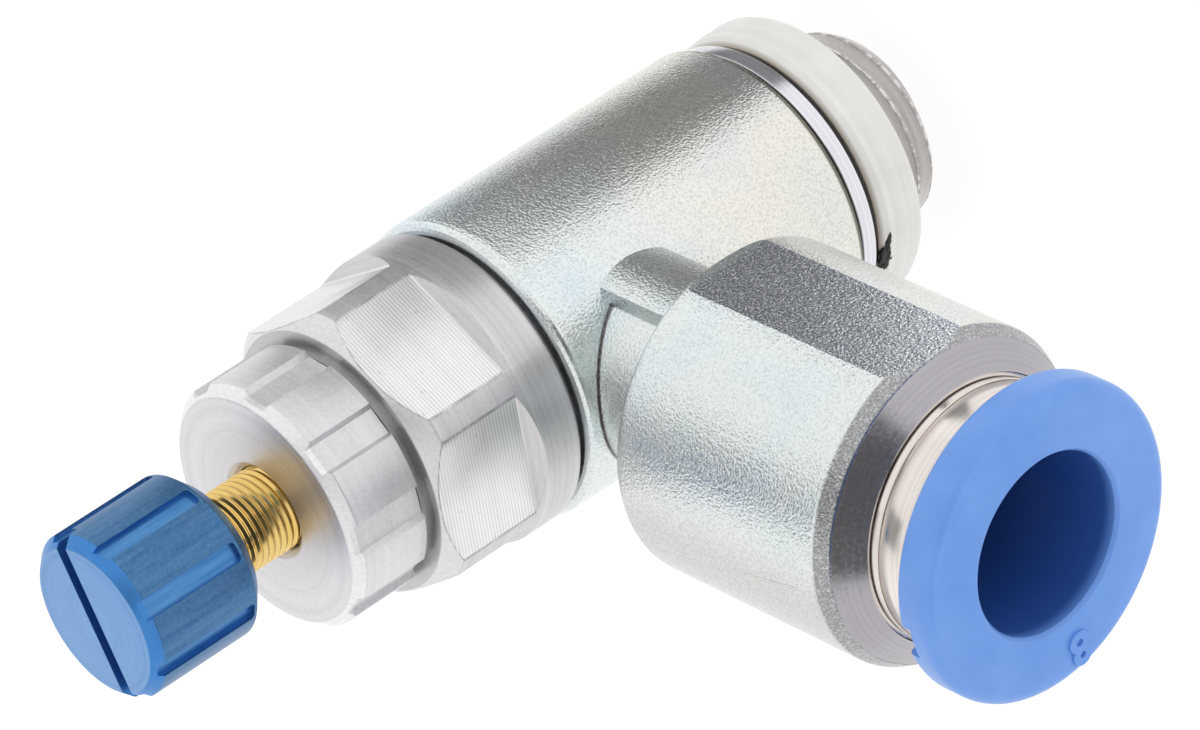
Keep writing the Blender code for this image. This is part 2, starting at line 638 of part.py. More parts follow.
def screw_o_ring(material):
    """The O-ring in the screw's piston."""
    groove_radius = PISTON_RADIUS - SCREW_O_RING_SECTION - RUNNING_CLEARANCE
    middle = groove_radius + RUNNING_CLEARANCE / 2 + SCREW_O_RING_SECTION / 2
    height = PISTON_FOOT + PISTON_HEIGHT / 2
    outline = ring_section(middle, height, SCREW_O_RING_SECTION)
    return place("screw_o_ring", revolve(outline, FINE_FACETS), material)


def knob(material):
    """The setting knob, grooved for fingers and slotted for a screwdriver."""
    outer = KNOB_DIAMETER / 2
    hole = SPIGOT_DIAMETER / 2 + RUNNING_CLEARANCE
    hole_top = KNOB_FOOT + SPIGOT_LENGTH + FACE_GAP
    outline = [
        (0, hole_top),
        (hole, hole_top),
        (hole, KNOB_FOOT),
        (outer - KNOB_FOOT_CHAMFER, KNOB_FOOT),
        (outer, KNOB_FOOT + KNOB_FOOT_CHAMFER),
        (outer, KNOB_TOP - KNOB_TOP_CHAMFER),
        (outer - KNOB_TOP_CHAMFER, KNOB_TOP),
        (0, KNOB_TOP),
    ]
    made = place("knob", revolve(outline, LARGE_FACETS), material)
    bm = bmesh.new()
    floor = outer - KNOB_GROOVE_DEPTH
    foot = KNOB_FOOT + KNOB_GROOVE_END
    top = KNOB_TOP + OVERCUT
    size = (OVERCUT, KNOB_GROOVE_WIDTH, top - foot)
    for i in range(KNOB_GROOVES):
        turn = KNOB_FIRST_GROOVE + 2 * pi * i / KNOB_GROOVES
        place_box(bm, size, (floor + OVERCUT / 2, 0, (foot + top) / 2), turn)
    combine(made, place("knob_grooves", bm), "DIFFERENCE")
    length = KNOB_DIAMETER + OVERCUT
    height = KNOB_SLOT_DEPTH + OVERCUT
    slot = box((length, KNOB_SLOT_WIDTH, height), (0, 0, KNOB_TOP - KNOB_SLOT_DEPTH + height / 2), KNOB_SLOT_ANGLE)
    combine(made, place("knob_slot", slot), "DIFFERENCE")
    return made


def branch_form():
    """The neck and barrel of the body, made about Z and laid along the branch afterwards."""
    neck = NECK_DIAMETER / 2
    outer = BARREL_RADIUS
    size = BARREL_BACK_ROUND
    rim_start = BARREL_FRONT - BARREL_CONE_LENGTH - BARREL_RIM_LENGTH
    outline = [(0, 0), (neck, 0), (neck, BARREL_START)]
    outline += rounded_corner(outer - size, BARREL_START + size, size, -pi / 2, 0, 4)
    outline += [
        (outer, rim_start),
        (outer - BARREL_RIM_DEPTH, rim_start + BARREL_RIM_LENGTH),
        (CHAMBER_RADIUS, BARREL_FRONT),
        (0, BARREL_FRONT),
    ]
    bm = revolve(outline, LARGE_FACETS)
    for side in (-1, 1):
        cut = bmesh.ops.bisect_plane(
            bm,
            geom=bm.verts[:] + bm.edges[:] + bm.faces[:],
            plane_co=(0, side * BARREL_FLAT_REACH, 0),
            plane_no=(0, side, 0),
            clear_outer=True,
        )
        rim = [edge for edge in cut["geom_cut"] if isinstance(edge, bmesh.types.BMEdge)]
        bmesh.ops.holes_fill(bm, edges=rim, sides=0)
    return bm


def neck_pad_form():
    """The raised pad along the top of the neck, part of a larger round."""
    radius = NECK_PAD_DIAMETER / 2
    half = NECK_PAD_WIDTH / 2
    steps = 6
    across = [half - 2 * half * i / steps for i in range(steps + 1)]
    section = [(sqrt(radius * radius - z * z), z) for z in across] + [(0, -half), (0, half)]
    bm = bmesh.new()
    face = bm.faces.new([bm.verts.new((0, y, BRANCH_Z + z)) for y, z in section])
    grown = bmesh.ops.extrude_face_region(bm, geom=[face])["geom"]
    moved = [vert for vert in grown if isinstance(vert, bmesh.types.BMVert)]
    bmesh.ops.translate(bm, verts=moved, vec=Vector((BARREL_START + BARREL_BACK_ROUND, 0, 0)))
    bmesh.ops.recalc_face_normals(bm, faces=bm.faces)
    return bm


def swivel_body(material):
    """The die-cast body: a sleeve that turns on the bolt, with a barrel for the tube connector."""
    outer = BODY_RADIUS
    size = BODY_TOP_ROUND
    outline = [(0, BODY_FOOT), (outer - BODY_FOOT_CHAMFER, BODY_FOOT), (outer, BODY_FOOT + BODY_FOOT_CHAMFER)]
    outline += rounded_corner(outer - size, BODY_TOP - size, size, 0, pi / 2, 4)
    outline += [(0, BODY_TOP)]
    body = place("swivel_body", revolve(outline, LARGE_FACETS), material)
    combine(body, along_branch(place("branch_form", branch_form())), "UNION")
    combine(body, place("neck_pad_form", neck_pad_form()), "UNION")

    recess = BODY_RADIUS - BODY_TOP_RIM
    bore = [
        (0, BODY_FOOT - OVERCUT),
        (BODY_BORE_RADIUS, BODY_FOOT - OVERCUT),
        (BODY_BORE_RADIUS, BODY_TOP - BODY_TOP_RECESS_DEPTH),
        (recess, BODY_TOP - BODY_TOP_RECESS_DEPTH),
        (recess, BODY_TOP + OVERCUT),
        (0, BODY_TOP + OVERCUT),
    ]
    combine(body, place("body_bore", revolve(bore, LARGE_FACETS)), "DIFFERENCE")
    connector = [
        (0, 0),
        (PASSAGE_DIAMETER / 2, 0),
        (PASSAGE_DIAMETER / 2, TUBE_STOP),
        (TUBE_BORE_RADIUS, TUBE_STOP),
        (TUBE_BORE_RADIUS, SEAL_CHAMBER_START),
        (CHAMBER_RADIUS, SEAL_CHAMBER_START),
        (CHAMBER_RADIUS, BARREL_FRONT + OVERCUT),
        (0, BARREL_FRONT + OVERCUT),
    ]
    combine(body, along_branch(place("connector_bore", revolve(connector, LARGE_FACETS))), "DIFFERENCE")
    return body


def tube_seal(material):
    """The rubber ring that grips the tube, with a notch in the side that the pressure opens."""
    inner = TUBE_RADIUS - TUBE_SEAL_SQUEEZE
    end = TUBE_SEAL_START + TUBE_SEAL_LENGTH
    middle = (inner + CHAMBER_FIT_RADIUS) / 2
    outline = [
        (inner, TUBE_SEAL_START),
        (middle - TUBE_SEAL_NOTCH, TUBE_SEAL_START),
        (middle, TUBE_SEAL_START + TUBE_SEAL_NOTCH),
        (middle + TUBE_SEAL_NOTCH, TUBE_SEAL_START),
        (CHAMBER_FIT_RADIUS, TUBE_SEAL_START),
        (CHAMBER_FIT_RADIUS, end),
        (inner, end),
    ]
    return along_branch(place("tube_seal", revolve(outline, SMALL_FACETS), material))


def claw_holder(material):
    """The ring that keeps the seal and the clamping claw apart, coned to back the claw's fingers."""
    inner = TUBE_BORE_RADIUS
    end = CLAW_HOLDER_START + CLAW_HOLDER_LENGTH
    outline = [
        (inner, CLAW_HOLDER_START),
        (CHAMBER_FIT_RADIUS, CLAW_HOLDER_START),
        (CHAMBER_FIT_RADIUS, end),
        (CLAW_BEND_RADIUS, end),
        (inner, end - CLAW_LEAN),
    ]
    return along_branch(place("claw_holder", revolve(outline, SMALL_FACETS), material))


def clamping_claw(material):
    """The spring-steel ring whose fingers lean inwards and hold the tube."""
    tip = TUBE_RADIUS + CLAW_TIP_CLEARANCE
    bend = CLAW_BEND_RADIUS
    face = CLAW_RIM_START
    back = CLAW_RIM_START + CLAW_THICKNESS
    outline = [
        (CHAMBER_FIT_RADIUS, face),
        (CHAMBER_FIT_RADIUS, back),
        (bend, back),
        (tip, back - CLAW_LEAN),
        (tip, face - CLAW_LEAN),
        (bend, face),
    ]
    claw = along_branch(place("clamping_claw", revolve(outline, SMALL_FACETS), material))
    bm = bmesh.new()
    length = bend - FACE_GAP
    size = (length, CLAW_SLOT_WIDTH, CLAW_LEAN + CLAW_THICKNESS + OVERCUT)
    for i in range(CLAW_SLOTS):
        turn = 2 * pi * (i + 0.5) / CLAW_SLOTS
        place_box(bm, size, (length / 2 + FACE_GAP + tip / 2, 0, face - CLAW_LEAN / 2), turn)
    for vert in bm.verts:
        reach = vert.co.xy.length
        if reach > bend - FACE_GAP:
            vert.co.xy *= (bend - FACE_GAP) / reach
    combine(claw, along_branch(place("claw_slots", bm)), "DIFFERENCE")
    return claw


def cartridge_sleeve(material):
    """The plated sleeve pressed into the barrel, which guides and keeps the release ring."""
    nose = SLEEVE_NOSE_RADIUS
    lip = STEM_RADIUS + RUNNING_CLEARANCE
    groove = BARREL_FRONT + SLEEVE_GROOVE_FROM_BARREL
    step = BARREL_FRONT - FACE_GAP
    bore = SLEEVE_BORE_RADIUS
    outline = [
        (bore, SLEEVE_START),
        (CHAMBER_FIT_RADIUS, SLEEVE_START),
        (CHAMBER_FIT_RADIUS, step),
        (nose, step),
        (nose, groove),
        (nose - SLEEVE_GROOVE_DEPTH, groove),
        (nose - SLEEVE_GROOVE_DEPTH, groove + SLEEVE_GROOVE_WIDTH),
        (nose, groove + SLEEVE_GROOVE_WIDTH),
        (nose, SLEEVE_FRONT - FACE_GAP),
        (nose - FACE_GAP, SLEEVE_FRONT),
        (lip, SLEEVE_FRONT),
        (lip, SLEEVE_LIP_START),
        (bore, SLEEVE_LIP_START),
    ]
    return along_branch(place("cartridge_sleeve", revolve(outline, LARGE_FACETS), material))


def release_ring(material):
    """The push ring that frees the tube: a flange with a skirt, and a stem inside the sleeve."""
    outer = RELEASE_RADIUS
    bore = TUBE_BORE_RADIUS
    size = RELEASE_ROUND
    skirt = RELEASE_SKIRT_RADIUS
    barb_front = SLEEVE_LIP_START - FACE_GAP
    barb_back = barb_front - RELEASE_BARB_LENGTH
    barb = STEM_RADIUS + RELEASE_BARB_HEIGHT
    outline = [
        (bore, RELEASE_STEM_END),
        (STEM_RADIUS, RELEASE_STEM_END),
        (STEM_RADIUS, barb_back),
        (barb, barb_front - FACE_GAP),
        (barb, barb_front),
        (STEM_RADIUS, barb_front),
        (STEM_RADIUS, RELEASE_WEB_START),
        (skirt, RELEASE_WEB_START),
        (skirt, RELEASE_BACK),
        (outer, RELEASE_BACK),
    ]
    outline += rounded_corner(outer - size, RELEASE_FRONT - size, size, 0, pi / 2, 4)
    outline += [(bore + RELEASE_LEAD_IN, RELEASE_FRONT), (bore, RELEASE_FRONT - RELEASE_LEAD_IN)]
    ring = along_branch(place("release_ring", revolve(outline, LARGE_FACETS), material))
    notch_size = (OVERCUT + outer - skirt, RELEASE_NOTCH_WIDTH, RELEASE_NOTCH_DEPTH + OVERCUT)
    notch_height = RELEASE_BACK + RELEASE_NOTCH_DEPTH - notch_size[2] / 2
    notch = box(notch_size, (outer, 0, notch_height), pi + RELEASE_NOTCH_ANGLE)
    combine(ring, along_branch(place("release_notch", notch)), "DIFFERENCE")
    return ring


def main():
    clear_scene()
    aluminium = finish("turned_aluminium", (0.66, 0.66, 0.68), 0.9, 0.42)
    bright = finish("bright_aluminium", (0.82, 0.82, 0.84), 1.0, 0.15)
    brass = finish("brass", (0.72, 0.50, 0.16), 1.0, 0.28)
    blue_metal = finish("blue_anodised_aluminium", (0.06, 0.19, 0.48), 0.6, 0.4)
    zinc = finish("passivated_zinc", (0.62, 0.64, 0.63), 0.9, 0.45)
    nickel = finish("nickel_plate", (0.78, 0.72, 0.68), 1.0, 0.2)
    steel = finish("spring_steel", (0.6, 0.6, 0.62), 1.0, 0.3)
    blue_plastic = finish("blue_acetal", (0.07, 0.26, 0.74), 0.0, 0.35)
    pale_plastic = finish("pale_polyamide", (0.72, 0.71, 0.68), 0.0, 0.5)
    dark_plastic = finish("dark_polyamide", (0.05, 0.05, 0.055), 0.0, 0.5)
    rubber = finish("black_rubber", (0.02, 0.02, 0.02), 0.0, 0.7)

    swivel_axis = bpy.data.objects.new("swivel_axis", None)
    screw_axis = bpy.data.objects.new("screw_axis", None)
    for axis in (swivel_axis, screw_axis):
        axis.empty_display_size = 2 * BODY_RADIUS
        bpy.context.scene.collection.objects.link(axis)

    hollow_bolt(aluminium)
    throttle_seat(brass)
    shank_o_ring("lower_o_ring", LOWER_O_RING_Z, rubber)
    shank_o_ring("upper_o_ring", UPPER_O_RING_Z, rubber)
    check_lip_seal(rubber)
    retaining_ring(bright)
    port_seal_rubber(rubber)
    port_seal_ring(pale_plastic)
    lock_nut(aluminium)
    for piece in (regulating_screw(brass), screw_o_ring(rubber), knob(blue_metal)):
        piece.parent = screw_axis
    connector = [
        swivel_body(zinc),
        tube_seal(rubber),
        claw_holder(dark_plastic),
        clamping_claw(steel),
        cartridge_sleeve(nickel),
        release_ring(blue_plastic),
    ]
    for piece in connector:
        piece.parent = swivel_axis


main()
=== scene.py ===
from math import cos, pi, radians, sin, tan

import bmesh
import bpy
from mathutils import Matrix, Vector, noise


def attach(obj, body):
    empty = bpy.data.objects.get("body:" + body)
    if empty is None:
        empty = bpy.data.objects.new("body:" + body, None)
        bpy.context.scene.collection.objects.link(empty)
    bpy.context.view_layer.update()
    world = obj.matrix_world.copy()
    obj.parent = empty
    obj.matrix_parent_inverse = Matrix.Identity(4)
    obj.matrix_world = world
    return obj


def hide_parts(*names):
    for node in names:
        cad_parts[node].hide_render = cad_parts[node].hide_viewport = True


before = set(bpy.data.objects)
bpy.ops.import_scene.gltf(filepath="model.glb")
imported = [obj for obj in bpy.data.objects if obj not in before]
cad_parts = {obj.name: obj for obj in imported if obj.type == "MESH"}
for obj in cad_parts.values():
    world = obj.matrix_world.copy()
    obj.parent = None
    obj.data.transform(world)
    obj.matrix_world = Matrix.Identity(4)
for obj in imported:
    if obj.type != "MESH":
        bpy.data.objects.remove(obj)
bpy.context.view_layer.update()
mm = 0.001

# Hollow bolt: one turned aluminium bar with a drilled air way.
# Its hexagon head is milled, and each flat runs out in the cutter's round short of the collar.
# Its shank carries the swivel body, and its foot carries the port thread.
body_foot = 4.05 * mm
body_top = 21.2 * mm
head_foot = 21.35 * mm
head_face = 29.33 * mm
head_top = 29.6 * mm
head_radius = 7.2 * mm
chamfer_rim = 6.42 * mm
flat_reach = 6.5 * mm
flat_foot = 24.25 * mm
shank_radius = 5.5 * mm
shank_foot = 2.9 * mm
ring_groove = 4.59 * mm
gallery = 4.8 * mm
air_way = 2.7 * mm
air_way_top = 20.4 * mm
screw_hole = 2.05 * mm
tube_axis = 16.0 * mm


def turned(outline, steps=144):
    """A lathe-turned form: (radius, height) points spun about Z, open ends on the axis or a closed loop."""
    bm = bmesh.new()
    rim = [bm.verts.new((r, 0, h)) for r, h in outline]
    edges = [bm.edges.new(pair) for pair in zip(rim, rim[1:])]
    if outline[0][0] > 0:
        edges.append(bm.edges.new((rim[-1], rim[0])))
    bmesh.ops.spin(
        bm, geom=rim + edges, cent=(0, 0, 0), axis=(0, 0, 1), angle=2 * pi, steps=steps, use_merge=True
    )
    bmesh.ops.remove_doubles(bm, verts=bm.verts, dist=1e-7)
    bmesh.ops.recalc_face_normals(bm, faces=bm.faces)
    return bm


def eased(outline, sizes, steps=4):
    """Rounds the numbered corners of an outline by the given radii."""
    made = []
    count = len(outline)
    for i, point in enumerate(outline):
        size = sizes.get(i)
        if not size:
            made.append(point)
            continue
        here = Vector(point)
        back = (Vector(outline[i - 1]) - here).normalized()
        on = (Vector(outline[(i + 1) % count]) - here).normalized()
        turn = back.angle(on)
        reach = size / tan(turn / 2)
        first = here + back * reach
        last = here + on * reach
        middle = here + (back + on).normalized() * (size / sin(turn / 2))
        for k in range(steps + 1):
            aim = first.lerp(last, k / steps) - middle
            made.append(tuple(middle + aim.normalized() * size))
    return made


def solid(name, bm):
    """Puts a bmesh in the scene as a bare object."""
    mesh = bpy.data.meshes.new(name)
    bm.to_mesh(mesh)
    bm.free()
    made = bpy.data.objects.new(name, mesh)
    bpy.context.scene.collection.objects.link(made)
    return made


def worked(target, *steps):
    """Cuts or joins other forms into a form, keeps the result as its mesh and drops the others."""
    for operation, other in steps:
        change = target.modifiers.new(operation, "BOOLEAN")
        change.operation = operation
        change.solver = "EXACT"
        change.object = other
    bpy.context.view_layer.update()
    graph = bpy.context.evaluated_depsgraph_get()
    bm = bmesh.new()
    bm.from_object(target, graph)
    target.modifiers.clear()
    weld = 0.003 * mm
    bmesh.ops.remove_doubles(bm, verts=bm.verts, dist=weld)
    bmesh.ops.dissolve_degenerate(bm, edges=bm.edges, dist=weld)
    bmesh.ops.triangulate(bm, faces=[face for face in bm.faces if len(face.verts) > 4])
    bmesh.ops.dissolve_degenerate(bm, edges=bm.edges, dist=weld)
    bmesh.ops.recalc_face_normals(bm, faces=bm.faces)
    bm.to_mesh(target.data)
    bm.free()
    for operation, other in steps:
        bpy.data.objects.remove(other, do_unlink=True)
    return target


def dressed(made, material, body, *nodes, edge=0.0, sharp=28):
    """Shades a piece, eases its edges, gives it its finish and lets it ride on its body."""
    mesh = made.data
    mesh.materials.clear()
    mesh.materials.append(material)
    mesh.shade_smooth()
    mesh.set_sharp_from_angle(angle=radians(sharp))
    if edge:
        bevel = made.modifiers.new("eased edges", "BEVEL")
        bevel.width = edge
        bevel.segments = 2
        bevel.limit_method = "ANGLE"
        bevel.angle_limit = radians(sharp + 2)
        bevel.harden_normals = True
        bevel.use_clamp_overlap = True
    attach(made, body)
    if nodes:
        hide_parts(*nodes)
    return made


class Finish:
    """A node material: each call adds one node and returns its output."""

    def __init__(self, name):
        self.material = bpy.data.materials.new(name)
        self.material.use_nodes = True
        self.nodes = self.material.node_tree.nodes
        self.links = self.material.node_tree.links
        self.shader = self.nodes["Principled BSDF"]
        self.place = self.nodes.new("ShaderNodeTexCoord").outputs["Object"]

    def wire(self, socket, value):
        if isinstance(value, bpy.types.NodeSocket):
            self.links.new(value, socket)
        else:
            socket.default_value = value

    def colour(self, socket, value):
        self.wire(socket, value if isinstance(value, bpy.types.NodeSocket) else (*value, 1.0))

    def maths(self, operation, a, b=0.0):
        node = self.nodes.new("ShaderNodeMath")
        node.operation = operation
        self.wire(node.inputs[0], a)
        self.wire(node.inputs[1], b)
        return node.outputs[0]

    def blended(self, first, share, second, other_share):
        """Two values added, each times its share."""
        one = self.maths("MULTIPLY", first, share)
        return self.maths("ADD", one, self.maths("MULTIPLY", second, other_share))

    def stretched(self, scale):
        node = self.nodes.new("ShaderNodeMapping")
        node.inputs["Scale"].default_value = scale
        self.links.new(self.place, node.inputs["Vector"])
        return node.outputs[0]

    def parts(self, vector):
        node = self.nodes.new("ShaderNodeSeparateXYZ")
        self.links.new(vector, node.inputs[0])
        return node.outputs

    def joined(self, x, y, z):
        node = self.nodes.new("ShaderNodeCombineXYZ")
        for socket, value in zip(node.inputs, (x, y, z)):
            self.wire(socket, value)
        return node.outputs[0]

    def noise(self, vector, scale, detail=3.0, rough=0.5):
        node = self.nodes.new("ShaderNodeTexNoise")
        node.inputs["Scale"].default_value = scale
        node.inputs["Detail"].default_value = detail
        node.inputs["Roughness"].default_value = rough
        self.links.new(vector, node.inputs["Vector"])
        return node.outputs["Fac"]

    def band(self, value, low, high, out_low=0.0, out_high=1.0):
        node = self.nodes.new("ShaderNodeMapRange")
        node.interpolation_type = "SMOOTHSTEP"
        node.clamp = True
        for socket, number in zip(list(node.inputs)[1:5], (low, high, out_low, out_high)):
            socket.default_value = number
        self.links.new(value, node.inputs[0])
        return node.outputs[0]

    def tones(self, value, *stops):
        node = self.nodes.new("ShaderNodeValToRGB")
        marks = node.color_ramp.elements
        while len(marks) < len(stops):
            marks.new(0.5)
        for mark, (position, colour) in zip(marks, stops):
            mark.position = position
            mark.color = (*colour, 1.0)
        self.links.new(value, node.inputs[0])
        return node.outputs[0]

    def mixed(self, share, first, second, blend="MIX"):
        node = self.nodes.new("ShaderNodeMix")
        node.data_type = "RGBA"
        node.blend_type = blend
        self.wire(node.inputs[0], share)
        self.colour(node.inputs[6], first)
        self.colour(node.inputs[7], second)
        return node.outputs[2]

    def bump(self, height, distance, strength=1.0):
        node = self.nodes.new("ShaderNodeBump")
        node.inputs["Distance"].default_value = distance
        node.inputs["Strength"].default_value = strength
        self.links.new(height, node.inputs["Height"])
        self.links.new(node.outputs[0], self.shader.inputs["Normal"])

    def lathe(self, along="Z"):
        """(radius, height, 0) about the screw axis, or about the tube axis, for marks that a lathe leaves."""
        x, y, z = self.parts(self.place)
        if along == "X":
            z = self.maths("SUBTRACT", z, tube_axis)
            across, other, height = y, z, x
        else:
            across, other, height = x, y, z
        square = self.blended(across, across, other, other)
        return self.joined(self.maths("SQRT", square), height, 0.0)

    def set(self, colour, metallic, roughness, **more):
        self.colour(self.shader.inputs["Base Color"], colour)
        self.wire(self.shader.inputs["Metallic"], metallic)
        self.wire(self.shader.inputs["Roughness"], roughness)
        for name, value in more.items():
            self.wire(self.shader.inputs[name.replace("_", " ").title().replace("Ior", "IOR")], value)
        return self.material


head_metal = Finish("milled_aluminium")
head_lathe = head_metal.lathe()
head_reach, head_height, nothing = head_metal.parts(head_lathe)
head_grain = head_metal.noise(head_metal.place, 8000.0, 3.0, 0.7)
head_rings = head_metal.noise(head_lathe, 4200.0, 2.0, 0.6)
feed_pitch = 0.17 * mm
feed_wave = head_metal.maths("SINE", head_metal.maths("MULTIPLY", head_height, 2 * pi / feed_pitch))
feed_streak = head_metal.noise(head_metal.joined(0.0, head_height, 0.0), 1500.0, 1.0, 0.4)
feed_line = head_metal.band(feed_wave, -1.0, -0.1)
head_feed = head_metal.blended(feed_line, 0.6, feed_streak, 0.4)
head_pits = head_metal.band(head_metal.noise(head_metal.place, 2600.0, 4.0, 0.6), 0.27, 0.36, 0.82, 1.0)
head_x, head_y, nothing = head_metal.parts(head_metal.place)
across_flats = head_metal.maths("ABSOLUTE", head_x)
for turn in (60, 120):
    leaning = head_metal.blended(head_x, cos(radians(turn)), head_y, sin(radians(turn)))
    across_flats = head_metal.maths("MAXIMUM", across_flats, head_metal.maths("ABSOLUTE", leaning))
on_flat = head_metal.maths(
    "MULTIPLY",
    head_metal.band(across_flats, flat_reach - 0.03 * mm, flat_reach - 0.01 * mm),
    head_metal.band(head_height, flat_foot - 0.1 * mm, flat_foot),
)
lathe_mix = head_metal.blended(head_rings, 0.6, head_grain, 0.4)
lathe_tone = head_metal.tones(lathe_mix, (0.35, (0.55, 0.535, 0.555)), (0.62, (0.70, 0.685, 0.705)))
feed_tone = head_metal.tones(head_feed, (0.15, (0.66, 0.65, 0.66)), (0.8, (0.9, 0.89, 0.895)))
head_tone = head_metal.mixed(on_flat, lathe_tone, feed_tone)
chamfer_start = head_face - 0.8 * mm
frosted = head_metal.band(head_height, chamfer_start, head_face - 0.74 * mm)
frost_tone = head_metal.tones(head_grain, (0.3, (0.66, 0.65, 0.66)), (0.7, (0.84, 0.82, 0.83)))
off_flat = head_metal.maths("MULTIPLY", frosted, head_metal.maths("SUBTRACT", 1.0, on_flat))
head_tone = head_metal.mixed(off_flat, head_tone, frost_tone)
chamfer_lean = (head_radius - chamfer_rim) / (head_face - chamfer_start)
past_chamfer = head_metal.maths("MAXIMUM", head_metal.maths("SUBTRACT", head_height, chamfer_start), 0.0)
chamfer_drop = head_metal.maths("MULTIPLY", past_chamfer, chamfer_lean)
turned_skin = head_metal.maths("SUBTRACT", head_radius, chamfer_drop)
off_edge = head_metal.maths("ABSOLUTE", head_metal.maths("SUBTRACT", across_flats, flat_reach))
burr = head_metal.band(head_metal.noise(head_metal.place, 650.0, 4.0, 0.7), 0.34, 0.62, 0.1, 0.6)
for limit in (
    head_metal.band(head_metal.maths("SUBTRACT", head_reach, turned_skin), -0.05 * mm, -0.02 * mm),
    head_metal.band(off_edge, 0.015 * mm, 0.04 * mm, 1.0, 0.0),
    head_metal.band(head_height, flat_foot - 0.1 * mm, flat_foot),
):
    burr = head_metal.maths("MULTIPLY", burr, limit)
head_tone = head_metal.mixed(burr, head_tone, (0.2, 0.18, 0.18))
# Painted shade: the boss and the head's face under the lock nut get a flat darker grey.
boss_painted_shade = head_metal.band(head_height, head_face - 0.03 * mm, head_face - 0.01 * mm)
head_tone = head_metal.mixed(boss_painted_shade, head_tone, (0.56, 0.545, 0.56))
head_tone = head_metal.mixed(1.0, head_tone, head_metal.joined(head_pits, head_pits, head_pits), "MULTIPLY")
head_marks = head_metal.blended(head_feed, on_flat, head_grain, 0.35)
head_metal.bump(head_marks, 0.005 * mm, 0.7)
bolt_finish = head_metal.set(head_tone, 0.92, head_metal.band(head_grain, 0.2, 0.8, 0.3, 0.46))
head = [
    (air_way, shank_foot - 0.35 * mm),
    (4.1 * mm, shank_foot - 0.35 * mm),
    (4.1 * mm, shank_foot),
    (shank_radius, shank_foot),
    (shank_radius, 5.0 * mm),
    (ring_groove, 5.0 * mm),
    (ring_groove, 6.4 * mm),
    (shank_radius, 6.4 * mm),
    (shank_radius, 6.95 * mm),
    (gallery, 6.95 * mm),
    (gallery, 10.25 * mm),
    (shank_radius, 10.25 * mm),
    (shank_radius, 10.5 * mm),
    (ring_groove, 10.5 * mm),
    (ring_groove, 12.2 * mm),
    (gallery, 12.2 * mm),
    (gallery, 18.3 * mm),
    (shank_radius, 18.3 * mm),
    (shank_radius, 19.0 * mm),
    (ring_groove, 19.0 * mm),
    (ring_groove, 20.4 * mm),
    (shank_radius, 20.4 * mm),
    (shank_radius, head_foot),
    (head_radius - 0.4 * mm, head_foot),
    (head_radius, head_foot + 0.4 * mm),
    (head_radius, chamfer_start),
    (chamfer_rim, head_face),
    (5.6 * mm, head_face),
    (5.6 * mm, head_top),
    (screw_hole, head_top),
    (screw_hole, air_way_top),
    (air_way, air_way_top),
]
head = eased(head, {23: 0.06 * mm, 24: 0.12 * mm, 25: 0.05 * mm, 26: 0.12 * mm}, 3)
bolt = solid("hollow_bolt_bar", turned(head, 192))

six = bmesh.new()
levels = [
    (7.9 * mm, -10 * mm),
    (7.9 * mm, flat_foot - 1.1 * mm),
    (6.66 * mm, flat_foot - 0.16 * mm),
    (6.54 * mm, flat_foot - 0.05 * mm),
    (flat_reach, flat_foot),
    (flat_reach, head_top + 1 * mm),
]
ring = None
for reach, height in levels:
    made = bmesh.ops.create_circle(
        six,
        cap_ends=height < -9 * mm or height > head_top,
        segments=6,
        radius=reach / cos(pi / 6),
        matrix=Matrix.Translation((0, 0, height)),
    )["verts"]
    edges = [edge for edge in six.edges if edge.verts[0] in made and edge.verts[1] in made]
    if ring:
        bmesh.ops.bridge_loops(six, edges=ring + edges)
    ring = edges
bmesh.ops.recalc_face_normals(six, faces=six.faces)
worked(bolt, ("INTERSECT", solid("six_flats", six)))
dressed(bolt, bolt_finish, "bolt", "hollow_bolt", edge=0.035 * mm)

# Port thread: the G 1/8 thread rolled on the bolt's foot, right-handed.
# It stands beyond the port seal and has a lead-in chamfer; the air way opens in its end.
thread_crest = 4.864 * mm
thread_root = 4.283 * mm
thread_pitch = 0.907 * mm
thread_end = -3.3 * mm
thread_top = shank_foot - 0.25 * mm


def threaded(crest, root, pitch, low, high, steps, flat):
    """A right-hand thread: a tooth spun up a helix, trimmed flat at both ends and closed."""
    bm = bmesh.new()
    start = low - 1.5 * pitch
    turns = int((high - low) / pitch + 3.5)
    tooth = [
        (root, 0),
        (root, flat / 2),
        (crest, 0.5 - flat / 2),
        (crest, 0.5 + flat / 2),
        (root, 1 - flat / 2),
        (root, 1),
    ]
    rim = [bm.verts.new((r, 0, start + part * pitch)) for r, part in tooth]
    edges = [bm.edges.new(pair) for pair in zip(rim, rim[1:])]
    bmesh.ops.spin(
        bm,
        geom=rim + edges,
        cent=(0, 0, 0),
        axis=(0, 0, 1),
        dvec=(0, 0, pitch / steps),
        angle=2 * pi * turns,
        steps=steps * turns,
    )
    bmesh.ops.remove_doubles(bm, verts=bm.verts, dist=0.002 * mm)
    for height, side in ((low, -1), (high, 1)):
        every = bm.verts[:] + bm.edges[:] + bm.faces[:]
        bmesh.ops.bisect_plane(
            bm, geom=every, plane_co=(0, 0, height), plane_no=(0, 0, side), clear_outer=True, dist=1e-7
        )
    loose = [vert for vert in bm.verts if not vert.link_faces]
    bmesh.ops.delete(bm, geom=loose, context="VERTS")
    rims = [edge for edge in bm.edges if edge.is_boundary]
    bmesh.ops.holes_fill(bm, edges=rims, sides=0)
    bmesh.ops.recalc_face_normals(bm, faces=bm.faces)
    return bm


